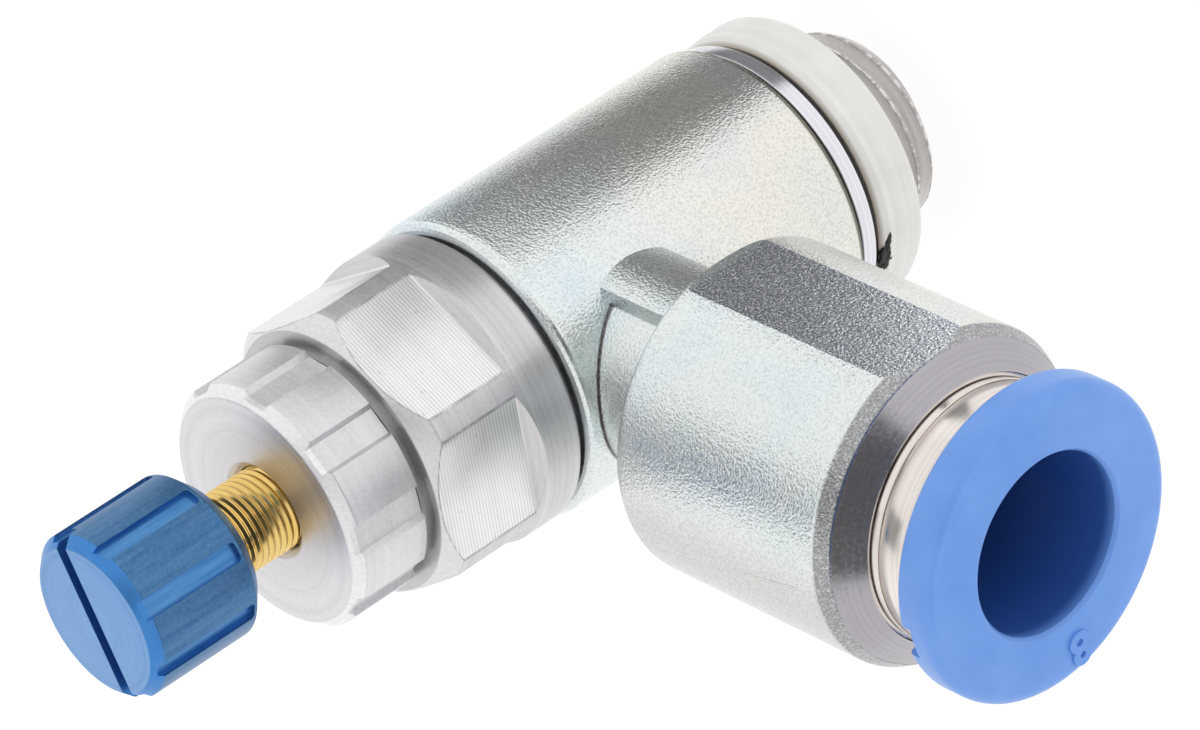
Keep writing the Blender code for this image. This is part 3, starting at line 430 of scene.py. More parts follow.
bm = threaded(thread_crest, thread_root, thread_pitch, thread_end, thread_top, 96, 0.16)
bmesh.ops.rotate(bm, cent=(0, 0, 0), matrix=Matrix.Rotation(pi, 3, "Z"), verts=bm.verts)
for vert in bm.verts:
    allowed = thread_crest - 0.45 * mm + (vert.co.z - thread_end)
    reach = vert.co.xy.length
    if reach > allowed:
        vert.co.xy *= allowed / reach
rolled = Finish("rolled_aluminium")
rolled_lathe = rolled.lathe()
rolled_lines = rolled.noise(rolled_lathe, 5200.0, 2.0, 0.6)
rolled_grain = rolled.noise(rolled.place, 6000.0, 3.0, 0.7)
rolled_mix = rolled.blended(rolled_lines, 0.5, rolled_grain, 0.5)
rolled.bump(rolled_mix, 0.008 * mm, 0.6)
rolled_reach = rolled.parts(rolled_lathe)[0]
bead = rolled.maths(
    "MULTIPLY",
    rolled.band(rolled_reach, thread_crest - 0.05 * mm, thread_crest - 0.02 * mm),
    rolled.band(rolled.noise(rolled.place, 2400.0, 3.0, 0.6), 0.42, 0.56, 0.0, 0.8),
)
rolled_tone = rolled.tones(rolled_mix, (0.34, (0.66, 0.64, 0.63)), (0.62, (0.8, 0.775, 0.765)))
rolled_finish = rolled.set(
    rolled.mixed(bead, rolled_tone, (0.36, 0.34, 0.33)),
    0.6,
    rolled.band(rolled_grain, 0.2, 0.8, 0.36, 0.5),
)
port_thread = solid("port_thread", bm)
bore = [
    (0, thread_end - 1 * mm),
    (air_way, thread_end - 1 * mm),
    (air_way, thread_top + 1 * mm),
    (0, thread_top + 1 * mm),
]
worked(port_thread, ("DIFFERENCE", solid("air_bore", turned(bore, 96))))
dressed(port_thread, rolled_finish, "bolt", sharp=35)

# Inside the bolt: the brass throttle seat, two O-rings and the check lip, all as the solids have them.
# They are turned or moulded and lie in the bolt's bore and grooves.
rubber = Finish("black_rubber")
rubber_grain = rubber.noise(rubber.place, 5200.0, 4.0, 0.6)
rubber.bump(rubber_grain, 0.01 * mm, 0.5)
rubber_finish = rubber.set(
    rubber.tones(rubber_grain, (0.3, (0.011, 0.011, 0.012)), (0.8, (0.032, 0.031, 0.03))),
    0.0,
    rubber.band(rubber_grain, 0.2, 0.8, 0.5, 0.72),
)
brass = Finish("machined_brass")
brass_rings = brass.noise(brass.lathe(), 9000.0, 1.0, 0.5)
brass_cloud = brass.noise(brass.place, 500.0, 2.0)
brass_mix = brass.blended(brass_rings, 0.4, brass_cloud, 0.6)
brass.bump(brass_rings, 0.001 * mm, 0.4)
brass_finish = brass.set(
    brass.tones(brass_mix, (0.3, (0.74, 0.48, 0.12)), (0.72, (0.92, 0.68, 0.27))),
    1.0,
    brass.band(brass_cloud, 0.25, 0.8, 0.12, 0.2),
)


def kept(node, material):
    """A solid that stays as it is and gets its finish."""
    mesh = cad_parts[node].data
    mesh.materials.clear()
    mesh.materials.append(material)


kept("throttle_seat", brass_finish)
for node in ("lower_o_ring", "upper_o_ring", "check_lip_seal", "screw_o_ring", "tube_seal"):
    kept(node, rubber_finish)

# Retaining ring: a bright turned ring pressed on the shank under the swivel body.
# Its rim is polished between two fine chamfers, which are painted near black as painted shade.
ring_foot = 2.95 * mm
ring_top = 3.95 * mm
ring_radius = 7.05 * mm
ring_hole = 5.53 * mm
polish = Finish("polished_aluminium")
polish_lines = polish.noise(polish.lathe(), 4200.0, 2.0, 0.7)
polish_cloud = polish.noise(polish.place, 600.0, 2.0)
polish.bump(polish_lines, 0.0015 * mm, 0.5)
polish_tone = polish.tones(polish_lines, (0.3, (0.68, 0.66, 0.71)), (0.7, (0.88, 0.88, 0.92)))
off_middle = polish.maths("SUBTRACT", polish.parts(polish.place)[2], (ring_foot + ring_top) / 2)
# Painted shade: both chamfers of the ring are painted near black.
chamfer_painted_shade = polish.band(polish.maths("ABSOLUTE", off_middle), 0.36 * mm, 0.4 * mm)
polish_finish = polish.set(
    polish.mixed(chamfer_painted_shade, polish_tone, (0.13, 0.12, 0.125)),
    1.0,
    polish.band(polish_cloud, 0.3, 0.7, 0.2, 0.3),
)
outline = [
    (ring_hole, ring_foot),
    (ring_radius - 0.14 * mm, ring_foot),
    (ring_radius, ring_foot + 0.14 * mm),
    (ring_radius, ring_top - 0.14 * mm),
    (ring_radius - 0.14 * mm, ring_top),
    (ring_hole, ring_top),
]
outline = eased(outline, {1: 0.03 * mm, 2: 0.05 * mm, 3: 0.05 * mm, 4: 0.03 * mm}, 2)
dressed(solid("retaining_ring_bright", turned(outline, 192)), polish_finish, "bolt", "retaining_ring")

# Port seal: a pale moulded ring with a rounded lip on the thread side and a rubber ring inside it.
# The rubber shows as a dark line against the retaining ring.
seal_height = 2.65 * mm
seal_radius = 7.2 * mm
rubber_hole = 4.914 * mm
rubber_rim = 5.814 * mm
pale = Finish("pale_moulded_seal")
pale_cloud = pale.noise(pale.place, 700.0, 3.0)
pale_marks = pale.noise(pale.lathe(), 1500.0, 3.0, 0.6)
pale_mix = pale.blended(pale_cloud, 0.5, pale_marks, 0.5)
pale_skin = pale.tones(pale_mix, (0.3, (0.72, 0.715, 0.69)), (0.7, (0.82, 0.82, 0.79)))
# Painted shade: the seal's top edge, against the retaining ring, is painted a darker tan.
seal_edge_painted_shade = pale.band(pale.parts(pale.place)[2], seal_height - 0.15 * mm, seal_height - 0.01 * mm)
pale.bump(pale_marks, 0.02 * mm, 0.35)
pale_finish = pale.set(
    pale.mixed(seal_edge_painted_shade, pale_skin, (0.56, 0.5, 0.42)),
    0.0,
    0.42,
    subsurface_weight=0.15,
    subsurface_radius=(0.0006, 0.0005, 0.0004),
)
outline = [
    (5.85 * mm, 0),
    (seal_radius, 0),
    (seal_radius, 0.95 * mm),
    (7.17 * mm, 1.12 * mm),
    (7.19 * mm, 1.3 * mm),
    (7.18 * mm, 1.72 * mm),
    (7.13 * mm, 1.88 * mm),
    (7.13 * mm, 2.2 * mm),
    (7.0 * mm, 2.5 * mm),
    (6.8 * mm, seal_height),
    (5.85 * mm, seal_height),
]
rounds = {1: 0.6 * mm, 7: 0.15 * mm, 8: 0.1 * mm}
rounds.update({corner: 0.12 * mm for corner in (2, 3, 4, 5, 6)})
lip = solid("port_seal_lip", turned(eased(outline, rounds, 4), 192))
dressed(lip, pale_finish, "bolt", "port_seal_ring")
outline = [
    (rubber_hole, 0.05 * mm),
    (rubber_rim, 0.05 * mm),
    (rubber_rim, seal_height + 0.04 * mm),
    (6.75 * mm, seal_height + 0.04 * mm),
    (6.75 * mm, seal_height + 0.2 * mm),
    (rubber_hole, seal_height + 0.2 * mm),
]
dressed(solid("port_seal_core", turned(outline, 144)), rubber_finish, "bolt", "port_seal_rubber")
tears = ((1.6, 0.5), (4.0, 0.25), (9.0, 0.1))
chip = bmesh.new()
bmesh.ops.create_icosphere(chip, subdivisions=5, radius=1.0)
for vert in chip.verts:
    vert.co *= 1 + sum(noise.noise(vert.co * pitch) * share for pitch, share in tears)
bmesh.ops.transform(
    chip,
    matrix=Matrix.Rotation(radians(-12), 4, "Z")
    @ Matrix.Translation((6.95 * mm, 0, 2.32 * mm))
    @ Matrix.Rotation(radians(-12), 4, "X")
    @ Matrix.Diagonal((0.22 * mm, 0.95 * mm, 0.4 * mm, 1)),
    verts=chip.verts,
)
dressed(solid("port_seal_chip", chip), rubber_finish, "bolt", sharp=60)

# Swivel body: a zinc die casting, passivated, with a grainy satin skin.
# A sleeve turns on the bolt; a short neck with a raised pad carries the barrel for the tube.
# The barrel has two flats, and its front is machined to a cone.
body_radius = 7.4 * mm
body_hole = 5.55 * mm
neck_radius = 4.5 * mm
barrel_radius = 7.75 * mm
barrel_start = 11.5 * mm
barrel_front = 25.35 * mm
shoulder = barrel_front - 1.7 * mm
cone = barrel_front - 1.0 * mm
barrel_flat = 7.39 * mm
pad_radius = 5.2 * mm
pad_half_width = 1.9 * mm
chamber = 6.1 * mm
chamber_start = 16.4 * mm
passage = 3.0 * mm
tube_way = 4.15 * mm
tube_stop = 14.0 * mm
rim_recess = 6.85 * mm
rim_floor = body_top - 0.35 * mm
zinc = Finish("passivated_zinc")
zinc_x, zinc_y, zinc_z = zinc.parts(zinc.place)
zinc_lathe = zinc.lathe("X")
zinc_grain = zinc.noise(zinc.place, 8200.0, 1.0, 0.5)
zinc_speck = zinc.noise(zinc.place, 5600.0, 2.0, 0.6)
zinc_glint = zinc.noise(zinc.place, 10000.0, 1.0, 0.5)
zinc_cloud = zinc.noise(zinc.place, 170.0, 2.0)
zinc_mix = zinc.blended(zinc_grain, 0.7, zinc_speck, 0.3)
zinc_tint = zinc.tones(
    zinc_cloud, (0.3, (0.8, 0.835, 0.825)), (0.5, (0.86, 0.85, 0.825)), (0.7, (0.78, 0.82, 0.845))
)
zinc_warm = zinc.mixed(zinc.band(zinc_z, 8.0 * mm, 18.0 * mm), (0.99, 0.965, 0.92), (0.93, 0.985, 1.0))
zinc_tint = zinc.mixed(1.0, zinc_tint, zinc_warm, "MULTIPLY")
# Painted shade: the barrel's -Y side is painted darker grey.
barrel_painted_shade = zinc.maths(
    "MULTIPLY", zinc.band(zinc_y, -1.5 * mm, 2.2 * mm, 1.0, 0.0), zinc.band(zinc_x, 11.4 * mm, 12.0 * mm)
)
zinc_tint = zinc.mixed(zinc.maths("MULTIPLY", barrel_painted_shade, 0.8), zinc_tint, (0.62, 0.61, 0.59))
zinc_pits = zinc.tones(zinc_mix, (0.38, (0.84, 0.84, 0.84)), (0.54, (1.0, 1.0, 1.0)))
zinc_tone = zinc.mixed(1.0, zinc_tint, zinc_pits, "MULTIPLY")
# Painted shade: the body's foot, its lowest 0.3 mm over the retaining ring, is painted near black.
foot_painted_shade = zinc.band(zinc_z, body_foot + 0.25 * mm, body_foot + 0.4 * mm, 1.0, 0.0)
zinc_tone = zinc.mixed(foot_painted_shade, zinc_tone, (0.16, 0.16, 0.115))
off_axis = zinc.maths("ABSOLUTE", zinc_y)
zinc_flat = zinc.maths(
    "MULTIPLY",
    zinc.band(off_axis, barrel_flat - 0.015 * mm, barrel_flat - 0.002 * mm),
    zinc.band(zinc_x, barrel_start + 0.4 * mm, barrel_start + 0.8 * mm),
)
# The two flats are painted dark slate, partly a real as-cast finish and partly a painted reflection, with
# painted white glints from the finest grain noise.
slate_and_painted_glints = zinc.tones(
    zinc_glint, (0.36, (0.31, 0.335, 0.38)), (0.54, (0.6, 0.64, 0.7)), (0.62, (1.0, 1.0, 1.0))
)
# The shoulder is painted a dark speckle: the speckle is the casting's grain, and its darkness is partly a
# painted reflection.
zinc_shoulder = zinc.band(zinc_x, shoulder + 0.03 * mm, shoulder + 0.13 * mm)
shoulder_speckle_and_painted_reflection = zinc.tones(
    zinc_glint, (0.36, (0.29, 0.295, 0.3)), (0.58, (0.42, 0.425, 0.43)), (0.74, (0.62, 0.625, 0.63))
)
zinc_tone = zinc.mixed(zinc_shoulder, zinc_tone, shoulder_speckle_and_painted_reflection)
zinc_tone = zinc.mixed(zinc_flat, zinc_tone, slate_and_painted_glints)
# The machined cone is painted charcoal: partly the bare machined zinc, partly a painted dark reflection.
zinc_cut = zinc.band(zinc_x, cone + 0.01 * mm, cone + 0.07 * mm)
zinc_rings = zinc.noise(zinc_lathe, 5200.0, 2.0, 0.6)
cone_tone_and_painted_reflection = zinc.tones(zinc_rings, (0.3, (0.4, 0.38, 0.405)), (0.7, (0.455, 0.435, 0.465)))
zinc_tone = zinc.mixed(zinc_cut, zinc_tone, cone_tone_and_painted_reflection)
tube_reach = zinc.parts(zinc_lathe)[0]
bolt_reach = zinc.parts(zinc.lathe())[0]
# Painted shade: the crease where the neck meets the body's sleeve is painted dark brown, on the +X side only.
crease_painted_shade = zinc.maths(
    "MULTIPLY",
    zinc.band(bolt_reach, body_radius + 0.06 * mm, body_radius + 0.16 * mm, 1.0, 0.0),
    zinc.band(tube_reach, neck_radius + 0.04 * mm, neck_radius + 0.14 * mm, 1.0, 0.0),
)
crease_painted_shade = zinc.maths("MULTIPLY", crease_painted_shade, zinc.band(zinc_x, 0.0, 1.0 * mm, 0.0, 0.85))
zinc_tone = zinc.mixed(crease_painted_shade, zinc_tone, (0.14, 0.12, 0.11))
seam = zinc.maths("SUBTRACT", zinc.maths("ADD", zinc_y, 5.336 * mm), zinc.maths("MULTIPLY", zinc_x, 0.205))
seam = zinc.band(zinc.maths("ABSOLUTE", seam), 0.02 * mm, 0.08 * mm, 1.0, 0.0)
for limit in (
    zinc.band(zinc_z, 22.3 * mm, 22.6 * mm),
    zinc.band(zinc_x, 12.2 * mm, 14.5 * mm),
    zinc.band(zinc_x, 22.6 * mm, 23.2 * mm, 1.0, 0.0),
):
    seam = zinc.maths("MULTIPLY", seam, limit)
zinc_tone = zinc.mixed(zinc.maths("MULTIPLY", seam, 0.4), zinc_tone, (0.95, 0.96, 0.97))
zinc_rim = zinc.maths(
    "MULTIPLY",
    zinc.band(zinc_z, body_top - 0.6 * mm, body_top - 0.35 * mm),
    zinc.band(zinc_x, 8.4 * mm, 9.0 * mm, 1.0, 0.0),
)
zinc_smooth = zinc.maths("MAXIMUM", zinc_cut, zinc.maths("MULTIPLY", zinc_rim, 0.8))
zinc_calm = zinc.maths("SUBTRACT", 1.0, zinc_smooth)
zinc_relief = zinc.maths("MULTIPLY", zinc_mix, zinc_calm)
zinc_relief = zinc.maths("ADD", zinc_relief, zinc.maths("MULTIPLY", seam, 0.6))
zinc_relief = zinc.maths("ADD", zinc_relief, zinc.maths("MULTIPLY", zinc_rings, 0.02))
zinc.bump(zinc_relief, 0.05 * mm, 1.0)
zinc_finish = zinc.set(zinc_tone, 0.95, zinc.band(zinc_speck, 0.25, 0.75, 0.16, 0.28))


def sliced(bm, place, way):
    """Takes off what lies beyond a plane and closes the form again."""
    every = bm.verts[:] + bm.edges[:] + bm.faces[:]
    cut = bmesh.ops.bisect_plane(bm, geom=every, plane_co=place, plane_no=way, clear_outer=True)["geom_cut"]
    bmesh.ops.holes_fill(bm, edges=[edge for edge in cut if isinstance(edge, bmesh.types.BMEdge)], sides=0)


def along_tube(bm):
    """Lays a form made about Z along the tube axis."""
    bmesh.ops.transform(
        bm, matrix=Matrix.Translation((0, 0, tube_axis)) @ Matrix.Rotation(pi / 2, 4, "Y"), verts=bm.verts
    )
    return bm


outline = [(0, body_foot), (body_radius, body_foot), (body_radius, body_top), (0, body_top)]
outline = eased(outline, {1: 0.35 * mm, 2: 0.45 * mm}, 5)
casting = solid("swivel_body_casting", turned(outline, 192))
outline = [
    (0, 0),
    (neck_radius, 0),
    (neck_radius, barrel_start),
    (barrel_radius, barrel_start),
    (barrel_radius, shoulder),
    (7.38 * mm, cone),
    (chamber, barrel_front),
    (0, barrel_front),
]
outline = eased(outline, {2: 0.5 * mm, 3: 0.7 * mm, 4: 0.25 * mm}, 6)
branch = turned(outline, 192)
for side in (-1, 1):
    sliced(branch, (0, side * barrel_flat, 0), (0, side, 0))
branch = solid("branch", along_tube(branch))
pad_start = 3 * mm
pad_end = 12.2 * mm
pad = turned([(0, pad_start), (pad_radius, pad_start), (pad_radius, pad_end), (0, pad_end)], 192)
for side in (1, -1):
    sliced(pad, (side * pad_half_width, 0, 0), (side, 0, 0))
sliced(pad, (0, 2 * mm, 0), (0, -1, 0))
pad = solid("neck_pad", along_tube(pad))
hole = [
    (0, body_foot - 1 * mm),
    (body_hole, body_foot - 1 * mm),
    (body_hole, rim_floor),
    (rim_recess, rim_floor),
    (rim_recess, body_top + 1 * mm),
    (0, body_top + 1 * mm),
]
socket = [
    (0, 0),
    (passage, 0),
    (passage, tube_stop),
    (tube_way, tube_stop),
    (tube_way, chamber_start),
    (chamber, chamber_start),
    (chamber, barrel_front + 1 * mm),
    (0, barrel_front + 1 * mm),
]
worked(
    casting,
    ("UNION", branch),
    ("UNION", pad),
    ("DIFFERENCE", solid("bolt_hole", turned(hole, 192))),
    ("DIFFERENCE", solid("tube_socket", along_tube(turned(socket, 192)))),
)
dressed(casting, zinc_finish, "connector", "swivel_body", sharp=16)

# Tube connector inside the barrel: the claw's holder and the slotted claw, pushed in before the sleeve.
# The holder is a dark moulding, the claw is stamped from spring steel; both stay as the solids have them.
holder = Finish("dark_moulding")
holder_grain = holder.noise(holder.place, 2600.0, 3.0)
holder.bump(holder_grain, 0.01 * mm, 0.4)
holder_finish = holder.set(
    holder.tones(holder_grain, (0.3, (0.03, 0.03, 0.033)), (0.7, (0.06, 0.06, 0.064))), 0.0, 0.5
)
kept("claw_holder", holder_finish)
spring = Finish("spring_steel")
spring_lines = spring.noise(spring.lathe("X"), 3000.0, 2.0)
spring.bump(spring_lines, 0.003 * mm, 0.4)
spring_finish = spring.set(
    spring.tones(spring_lines, (0.3, (0.5, 0.5, 0.52)), (0.7, (0.78, 0.78, 0.8))), 1.0, 0.28
)
kept("clamping_claw", spring_finish)

# Cartridge sleeve: a turned brass sleeve, nickel plated, pressed into the barrel.
# Its nose stands out behind the release ring and has one fine groove.
sleeve_start = 20.55 * mm
sleeve_front = 27.4 * mm
nose = 5.95 * mm
nickel = Finish("nickel_plate")
nickel_lines = nickel.noise(nickel.lathe("X"), 3800.0, 2.0, 0.6)
nickel_cloud = nickel.noise(nickel.place, 500.0, 2.0)
nickel.bump(nickel_lines, 0.002 * mm, 0.5)
nickel_finish = nickel.set(
    nickel.tones(nickel_lines, (0.3, (0.66, 0.6, 0.56)), (0.7, (0.88, 0.83, 0.79))),
    1.0,
    nickel.band(nickel_cloud, 0.3, 0.7, 0.14, 0.24),
)
groove = barrel_front + 0.45 * mm
outline = [
    (5.55 * mm, sleeve_start),
    (6.05 * mm, sleeve_start),
    (6.05 * mm, barrel_front - 0.1 * mm),
    (nose, barrel_front - 0.1 * mm),
    (nose, groove),
    (nose - 0.14 * mm, groove),
    (nose - 0.14 * mm, groove + 0.16 * mm),
    (nose, groove + 0.16 * mm),
    (nose, sleeve_front),
    (5.2 * mm, sleeve_front),
    (5.2 * mm, sleeve_front - 1.7 * mm),
    (5.55 * mm, sleeve_front - 1.7 * mm),
]
outline = eased(outline, {4: 0.05 * mm, 7: 0.05 * mm, 8: 0.25 * mm}, 3)
sleeve = solid("cartridge_sleeve_nose", along_tube(turned(outline, 192)))
dressed(sleeve, nickel_finish, "connector", "cartridge_sleeve")

# Release ring: a moulded acetal ring that is pushed in to free the tube.
# The flange has a full round rim, a hollow back for the sleeve, and a notch in its skirt.
# A raised figure on the face gives the tube size.
release_back = 28.1 * mm
release_front = 29.95 * mm
release_radius = 7.24 * mm
tube_hole = 4.15 * mm
acetal = Finish("blue_acetal")
acetal_cloud = acetal.noise(acetal.place, 420.0, 3.0)
acetal_grain = acetal.noise(acetal.place, 5200.0, 2.0)
acetal.bump(acetal_grain, 0.004 * mm, 0.35)
acetal_skin = acetal.tones(acetal_cloud, (0.3, (0.125, 0.295, 0.73)), (0.7, (0.155, 0.335, 0.78)))
acetal_reach, acetal_along, nothing = acetal.parts(acetal.lathe("X"))
# Painted shade: the tube hole's wall is painted dark navy, fading out towards the front lip.
bore_painted_shade = acetal.maths(
    "MULTIPLY",
    acetal.band(acetal_reach, tube_hole + 0.03 * mm, tube_hole + 0.09 * mm, 1.0, 0.0),
    acetal.band(acetal_along, release_front - 0.85 * mm, release_front - 0.05 * mm, 1.0, 0.0),
)
acetal_finish = acetal.set(
    acetal.mixed(bore_painted_shade, acetal_skin, (0.03, 0.1, 0.38)),
    0.0,
    acetal.band(acetal_grain, 0.3, 0.7, 0.3, 0.38),
    subsurface_weight=0.12,
    subsurface_radius=(0.0003, 0.0005, 0.0012),
    ior=1.48,
)
outline = [
    (tube_hole, 21.95 * mm),
    (5.15 * mm, 21.95 * mm),
    (5.15 * mm, 24.6 * mm),
    (5.32 * mm, 25.5 * mm),
    (5.32 * mm, 25.6 * mm),
    (5.15 * mm, 25.6 * mm),
    (5.15 * mm, 29.0 * mm),
    (6.34 * mm, 29.0 * mm),
    (6.34 * mm, release_back),
    (release_radius, release_back),
    (release_radius, release_front),
    (tube_hole + 0.14 * mm, release_front),
    (tube_hole, release_front - 0.18 * mm),
]
outline = eased(outline, {8: 0.1 * mm, 9: 0.3 * mm, 10: 0.62 * mm, 11: 0.06 * mm, 12: 0.06 * mm}, 6)
ring = solid("release_ring_moulding", along_tube(turned(outline, 192)))
notch = bmesh.new()
bmesh.ops.create_cube(
    notch,
    size=1.0,
    matrix=Matrix.Translation((0, 0, tube_axis))
    @ Matrix.Rotation(radians(10.5), 4, "X")
    @ Matrix.Translation((release_back, 0, release_radius))
    @ Matrix.Diagonal((1.3 * mm, 1.65 * mm, 1.9 * mm, 1)),
)
worked(ring, ("DIFFERENCE", solid("skirt_notch", notch)))
dressed(ring, acetal_finish, "release", "release_ring", edge=0.05 * mm)

figure = bpy.data.curves.new("tube_size", "FONT")
figure.body = "8"
figure.size = 2.25 * mm
figure.extrude = 0.09 * mm
figure.offset = 0.05 * mm
figure.bevel_depth = 0.03 * mm
figure.bevel_resolution = 2
figure.align_x = "CENTER"
figure.align_y = "CENTER"
words = bpy.data.objects.new("tube_size", figure)
bpy.context.scene.collection.objects.link(words)
bpy.context.view_layer.update()
shape = bpy.data.meshes.new_from_object(words.evaluated_get(bpy.context.evaluated_depsgraph_get()))
bpy.data.objects.remove(words, do_unlink=True)
turn = radians(-171)
out = Vector((0, cos(turn), sin(turn)))
face = Matrix((out.cross(Vector((1, 0, 0))), out, (1, 0, 0))).transposed().to_4x4()
middle = Vector((release_front + 0.02 * mm, 0, tube_axis)) + out * 5.85 * mm
shape.transform(Matrix.Translation(middle) @ face)
figure_piece = bpy.data.objects.new("tube_size_figure", shape)
bpy.context.scene.collection.objects.link(figure_piece)
dressed(figure_piece, acetal_finish, "release")

# Regulating screw: turned brass with a fine M4 thread, needle and sealed piston inside the bolt.
# The thread shows between the lock nut and the knob.
screw_radius = 2.0 * mm
screw_pitch = 0.35 * mm
knob_foot = 37.1 * mm
knob_top = 43.5 * mm
screw = threaded(screw_radius, 1.88 * mm, screw_pitch, 26.6 * mm, 36.98 * mm, 64, 0.16)
dressed(solid("regulating_screw_thread", screw), brass_finish, "setting_screw", "regulating_screw", sharp=24)
needle = [
    (0, 11.05 * mm),
    (0.5 * mm, 11.05 * mm),
    (1.22 * mm, 14.45 * mm),
    (1.22 * mm, 15.45 * mm),
    (1.5 * mm, 15.45 * mm),
    (1.5 * mm, 17.65 * mm),
    (2.65 * mm, 17.65 * mm),
    (2.65 * mm, 18.05 * mm),
    (1.84 * mm, 18.05 * mm),
    (1.84 * mm, 18.95 * mm),
    (2.65 * mm, 18.95 * mm),
    (2.65 * mm, 19.35 * mm),
    (1.65 * mm, 19.35 * mm),
    (1.65 * mm, 26.59 * mm),
    (0, 26.59 * mm),
]
dressed(solid("regulating_screw_needle", turned(needle, 64)), brass_finish, "setting_screw")

# Lock nut: a round aluminium nut with flat-floored finger grooves, faced and chamfered on the lathe.
# It is turned down on the hexagon head to hold the screw's setting.
nut_foot = 29.7 * mm
nut_top = 33.75 * mm
nut_radius = 6.0 * mm
outline = [
    (screw_hole, nut_foot),
    (nut_radius, nut_foot),
    (nut_radius, nut_top - 0.5 * mm),
    (nut_radius - 0.5 * mm, nut_top),
    (screw_hole + 0.32 * mm, nut_top),
    (screw_hole, nut_top - 0.32 * mm),
]
outline = eased(outline, {1: 0.12 * mm, 2: 0.08 * mm, 3: 0.12 * mm, 4: 0.06 * mm}, 3)
nut = solid("lock_nut_grip", turned(outline, 180))
cuts = bmesh.new()
for k in range(9):
    tooth = bmesh.ops.create_cube(cuts, size=1.0)["verts"]
    for vert in tooth:
        vert.co.y *= 1.26 if vert.co.x < 0 else 4.2
    bmesh.ops.transform(
        cuts,
        matrix=Matrix.Rotation(radians(45 + 40 * k), 4, "Z")
        @ Matrix.Translation((nut_radius - 0.33 * mm + 1 * mm, 0, (nut_foot + nut_top) / 2))
        @ Matrix.Diagonal((2 * mm, 1 * mm, 8 * mm, 1)),
        verts=tooth,
    )
worked(nut, ("DIFFERENCE", solid("finger_grooves", cuts)))
satin = Finish("satin_aluminium")
satin_lathe = satin.lathe()
satin_reach, satin_height, nothing = satin.parts(satin_lathe)
satin_rings = satin.noise(satin_lathe, 3600.0, 2.0, 0.6)
satin_grain = satin.noise(satin.place, 7000.0, 3.0, 0.7)
satin_mix = satin.blended(satin_rings, 0.4, satin_grain, 0.6)
steps_cut = None
for reach in (5.32, 5.12, 4.9):
    off_line = satin.maths("ABSOLUTE", satin.maths("SUBTRACT", satin_reach, reach * mm))
    line = satin.band(off_line, 0.0, 0.07 * mm, 1.0, 0.0)
    steps_cut = line if steps_cut is None else satin.maths("ADD", steps_cut, line)
satin.bump(satin.maths("ADD", satin_mix, satin.maths("MULTIPLY", steps_cut, 0.6)), 0.012 * mm, 0.6)
satin_tone = satin.tones(satin_mix, (0.34, (0.64, 0.63, 0.65)), (0.6, (0.77, 0.76, 0.78)))
frosted = satin.maths(
    "MULTIPLY",
    satin.band(satin_height, nut_top - 0.5 * mm, nut_top - 0.44 * mm),
    satin.band(satin_height, nut_top - 0.06 * mm, nut_top - 0.02 * mm, 1.0, 0.0),
)
frost_tone = satin.tones(satin_grain, (0.3, (0.78, 0.77, 0.775)), (0.7, (0.95, 0.94, 0.945)))
nut_finish = satin.set(
    satin.mixed(frosted, satin_tone, frost_tone),
    0.9,
    satin.band(satin_grain, 0.2, 0.8, 0.34, 0.48),
)
dressed(nut, nut_finish, "nut", "lock_nut", edge=0.05 * mm)

# Knob: turned aluminium, blue anodised, with finger grooves milled along it and a screwdriver slot.
# It is pressed on the screw's spigot.
knob_radius = 4.0 * mm
outline = [
    (0, 40.6 * mm),
    (1.6 * mm, 40.6 * mm),
    (1.6 * mm, knob_foot),
    (knob_radius - 0.75 * mm, knob_foot),
    (knob_radius, knob_foot + 0.7 * mm),
    (knob_radius, knob_top - 0.5 * mm),
    (knob_radius - 0.48 * mm, knob_top),
    (0, knob_top),
]
outline = eased(outline, {3: 0.1 * mm, 4: 0.1 * mm, 5: 0.08 * mm, 6: 0.1 * mm}, 3)
grip = solid("knob_grip", turned(outline, 192))
cuts = bmesh.new()
for k in range(8):
    turn = Matrix.Rotation(radians(28 + 45 * k), 4, "Z")
    foot = knob_foot + 0.85 * mm
    groove_box = bmesh.ops.create_cube(
        cuts,
        size=1.0,
        matrix=turn
        @ Matrix.Translation((knob_radius - 0.27 * mm + 1 * mm, 0, foot + 4 * mm))
        @ Matrix.Diagonal((2 * mm, 0.92 * mm, 8 * mm, 1)),
    )["verts"]
    low = [vert for vert in groove_box if vert.co.z < foot + 1 * mm]
    rims = [edge for edge in cuts.edges if edge.verts[0] in low and edge.verts[1] in low]
    across = [e for e in rims if abs((e.verts[0].co - e.verts[1].co).length - 2 * mm) < 0.1 * mm]
    bmesh.ops.bevel(
        cuts, geom=across, offset=0.2 * mm, affect="EDGES", segments=5, profile=0.5, material=-1
    )
slot = bmesh.new()
bmesh.ops.create_cube(
    slot,
    size=1.0,
    matrix=Matrix.Rotation(radians(111), 4, "Z")
    @ Matrix.Translation((0, 0, knob_top - 0.9 * mm + 2 * mm))
    @ Matrix.Diagonal((12 * mm, 0.72 * mm, 4 * mm, 1)),
)
bmesh.ops.recalc_face_normals(cuts, faces=cuts.faces)
worked(grip, ("DIFFERENCE", solid("grip_grooves", cuts)), ("DIFFERENCE", solid("driver_slot", slot)))
blue = Finish("blue_anodised_aluminium")
blue_lathe = blue.lathe()
blue_reach, blue_height, nothing = blue.parts(blue_lathe)
blue_streaks = blue.noise(blue.stretched((1.0, 1.0, 0.05)), 4200.0, 3.0, 0.6)
blue_grain = blue.noise(blue.place, 5200.0, 4.0, 0.7)
blue_rings = blue.noise(blue_lathe, 2600.0, 2.0)
blue_mix = blue.blended(blue_streaks, 0.5, blue_grain, 0.5)
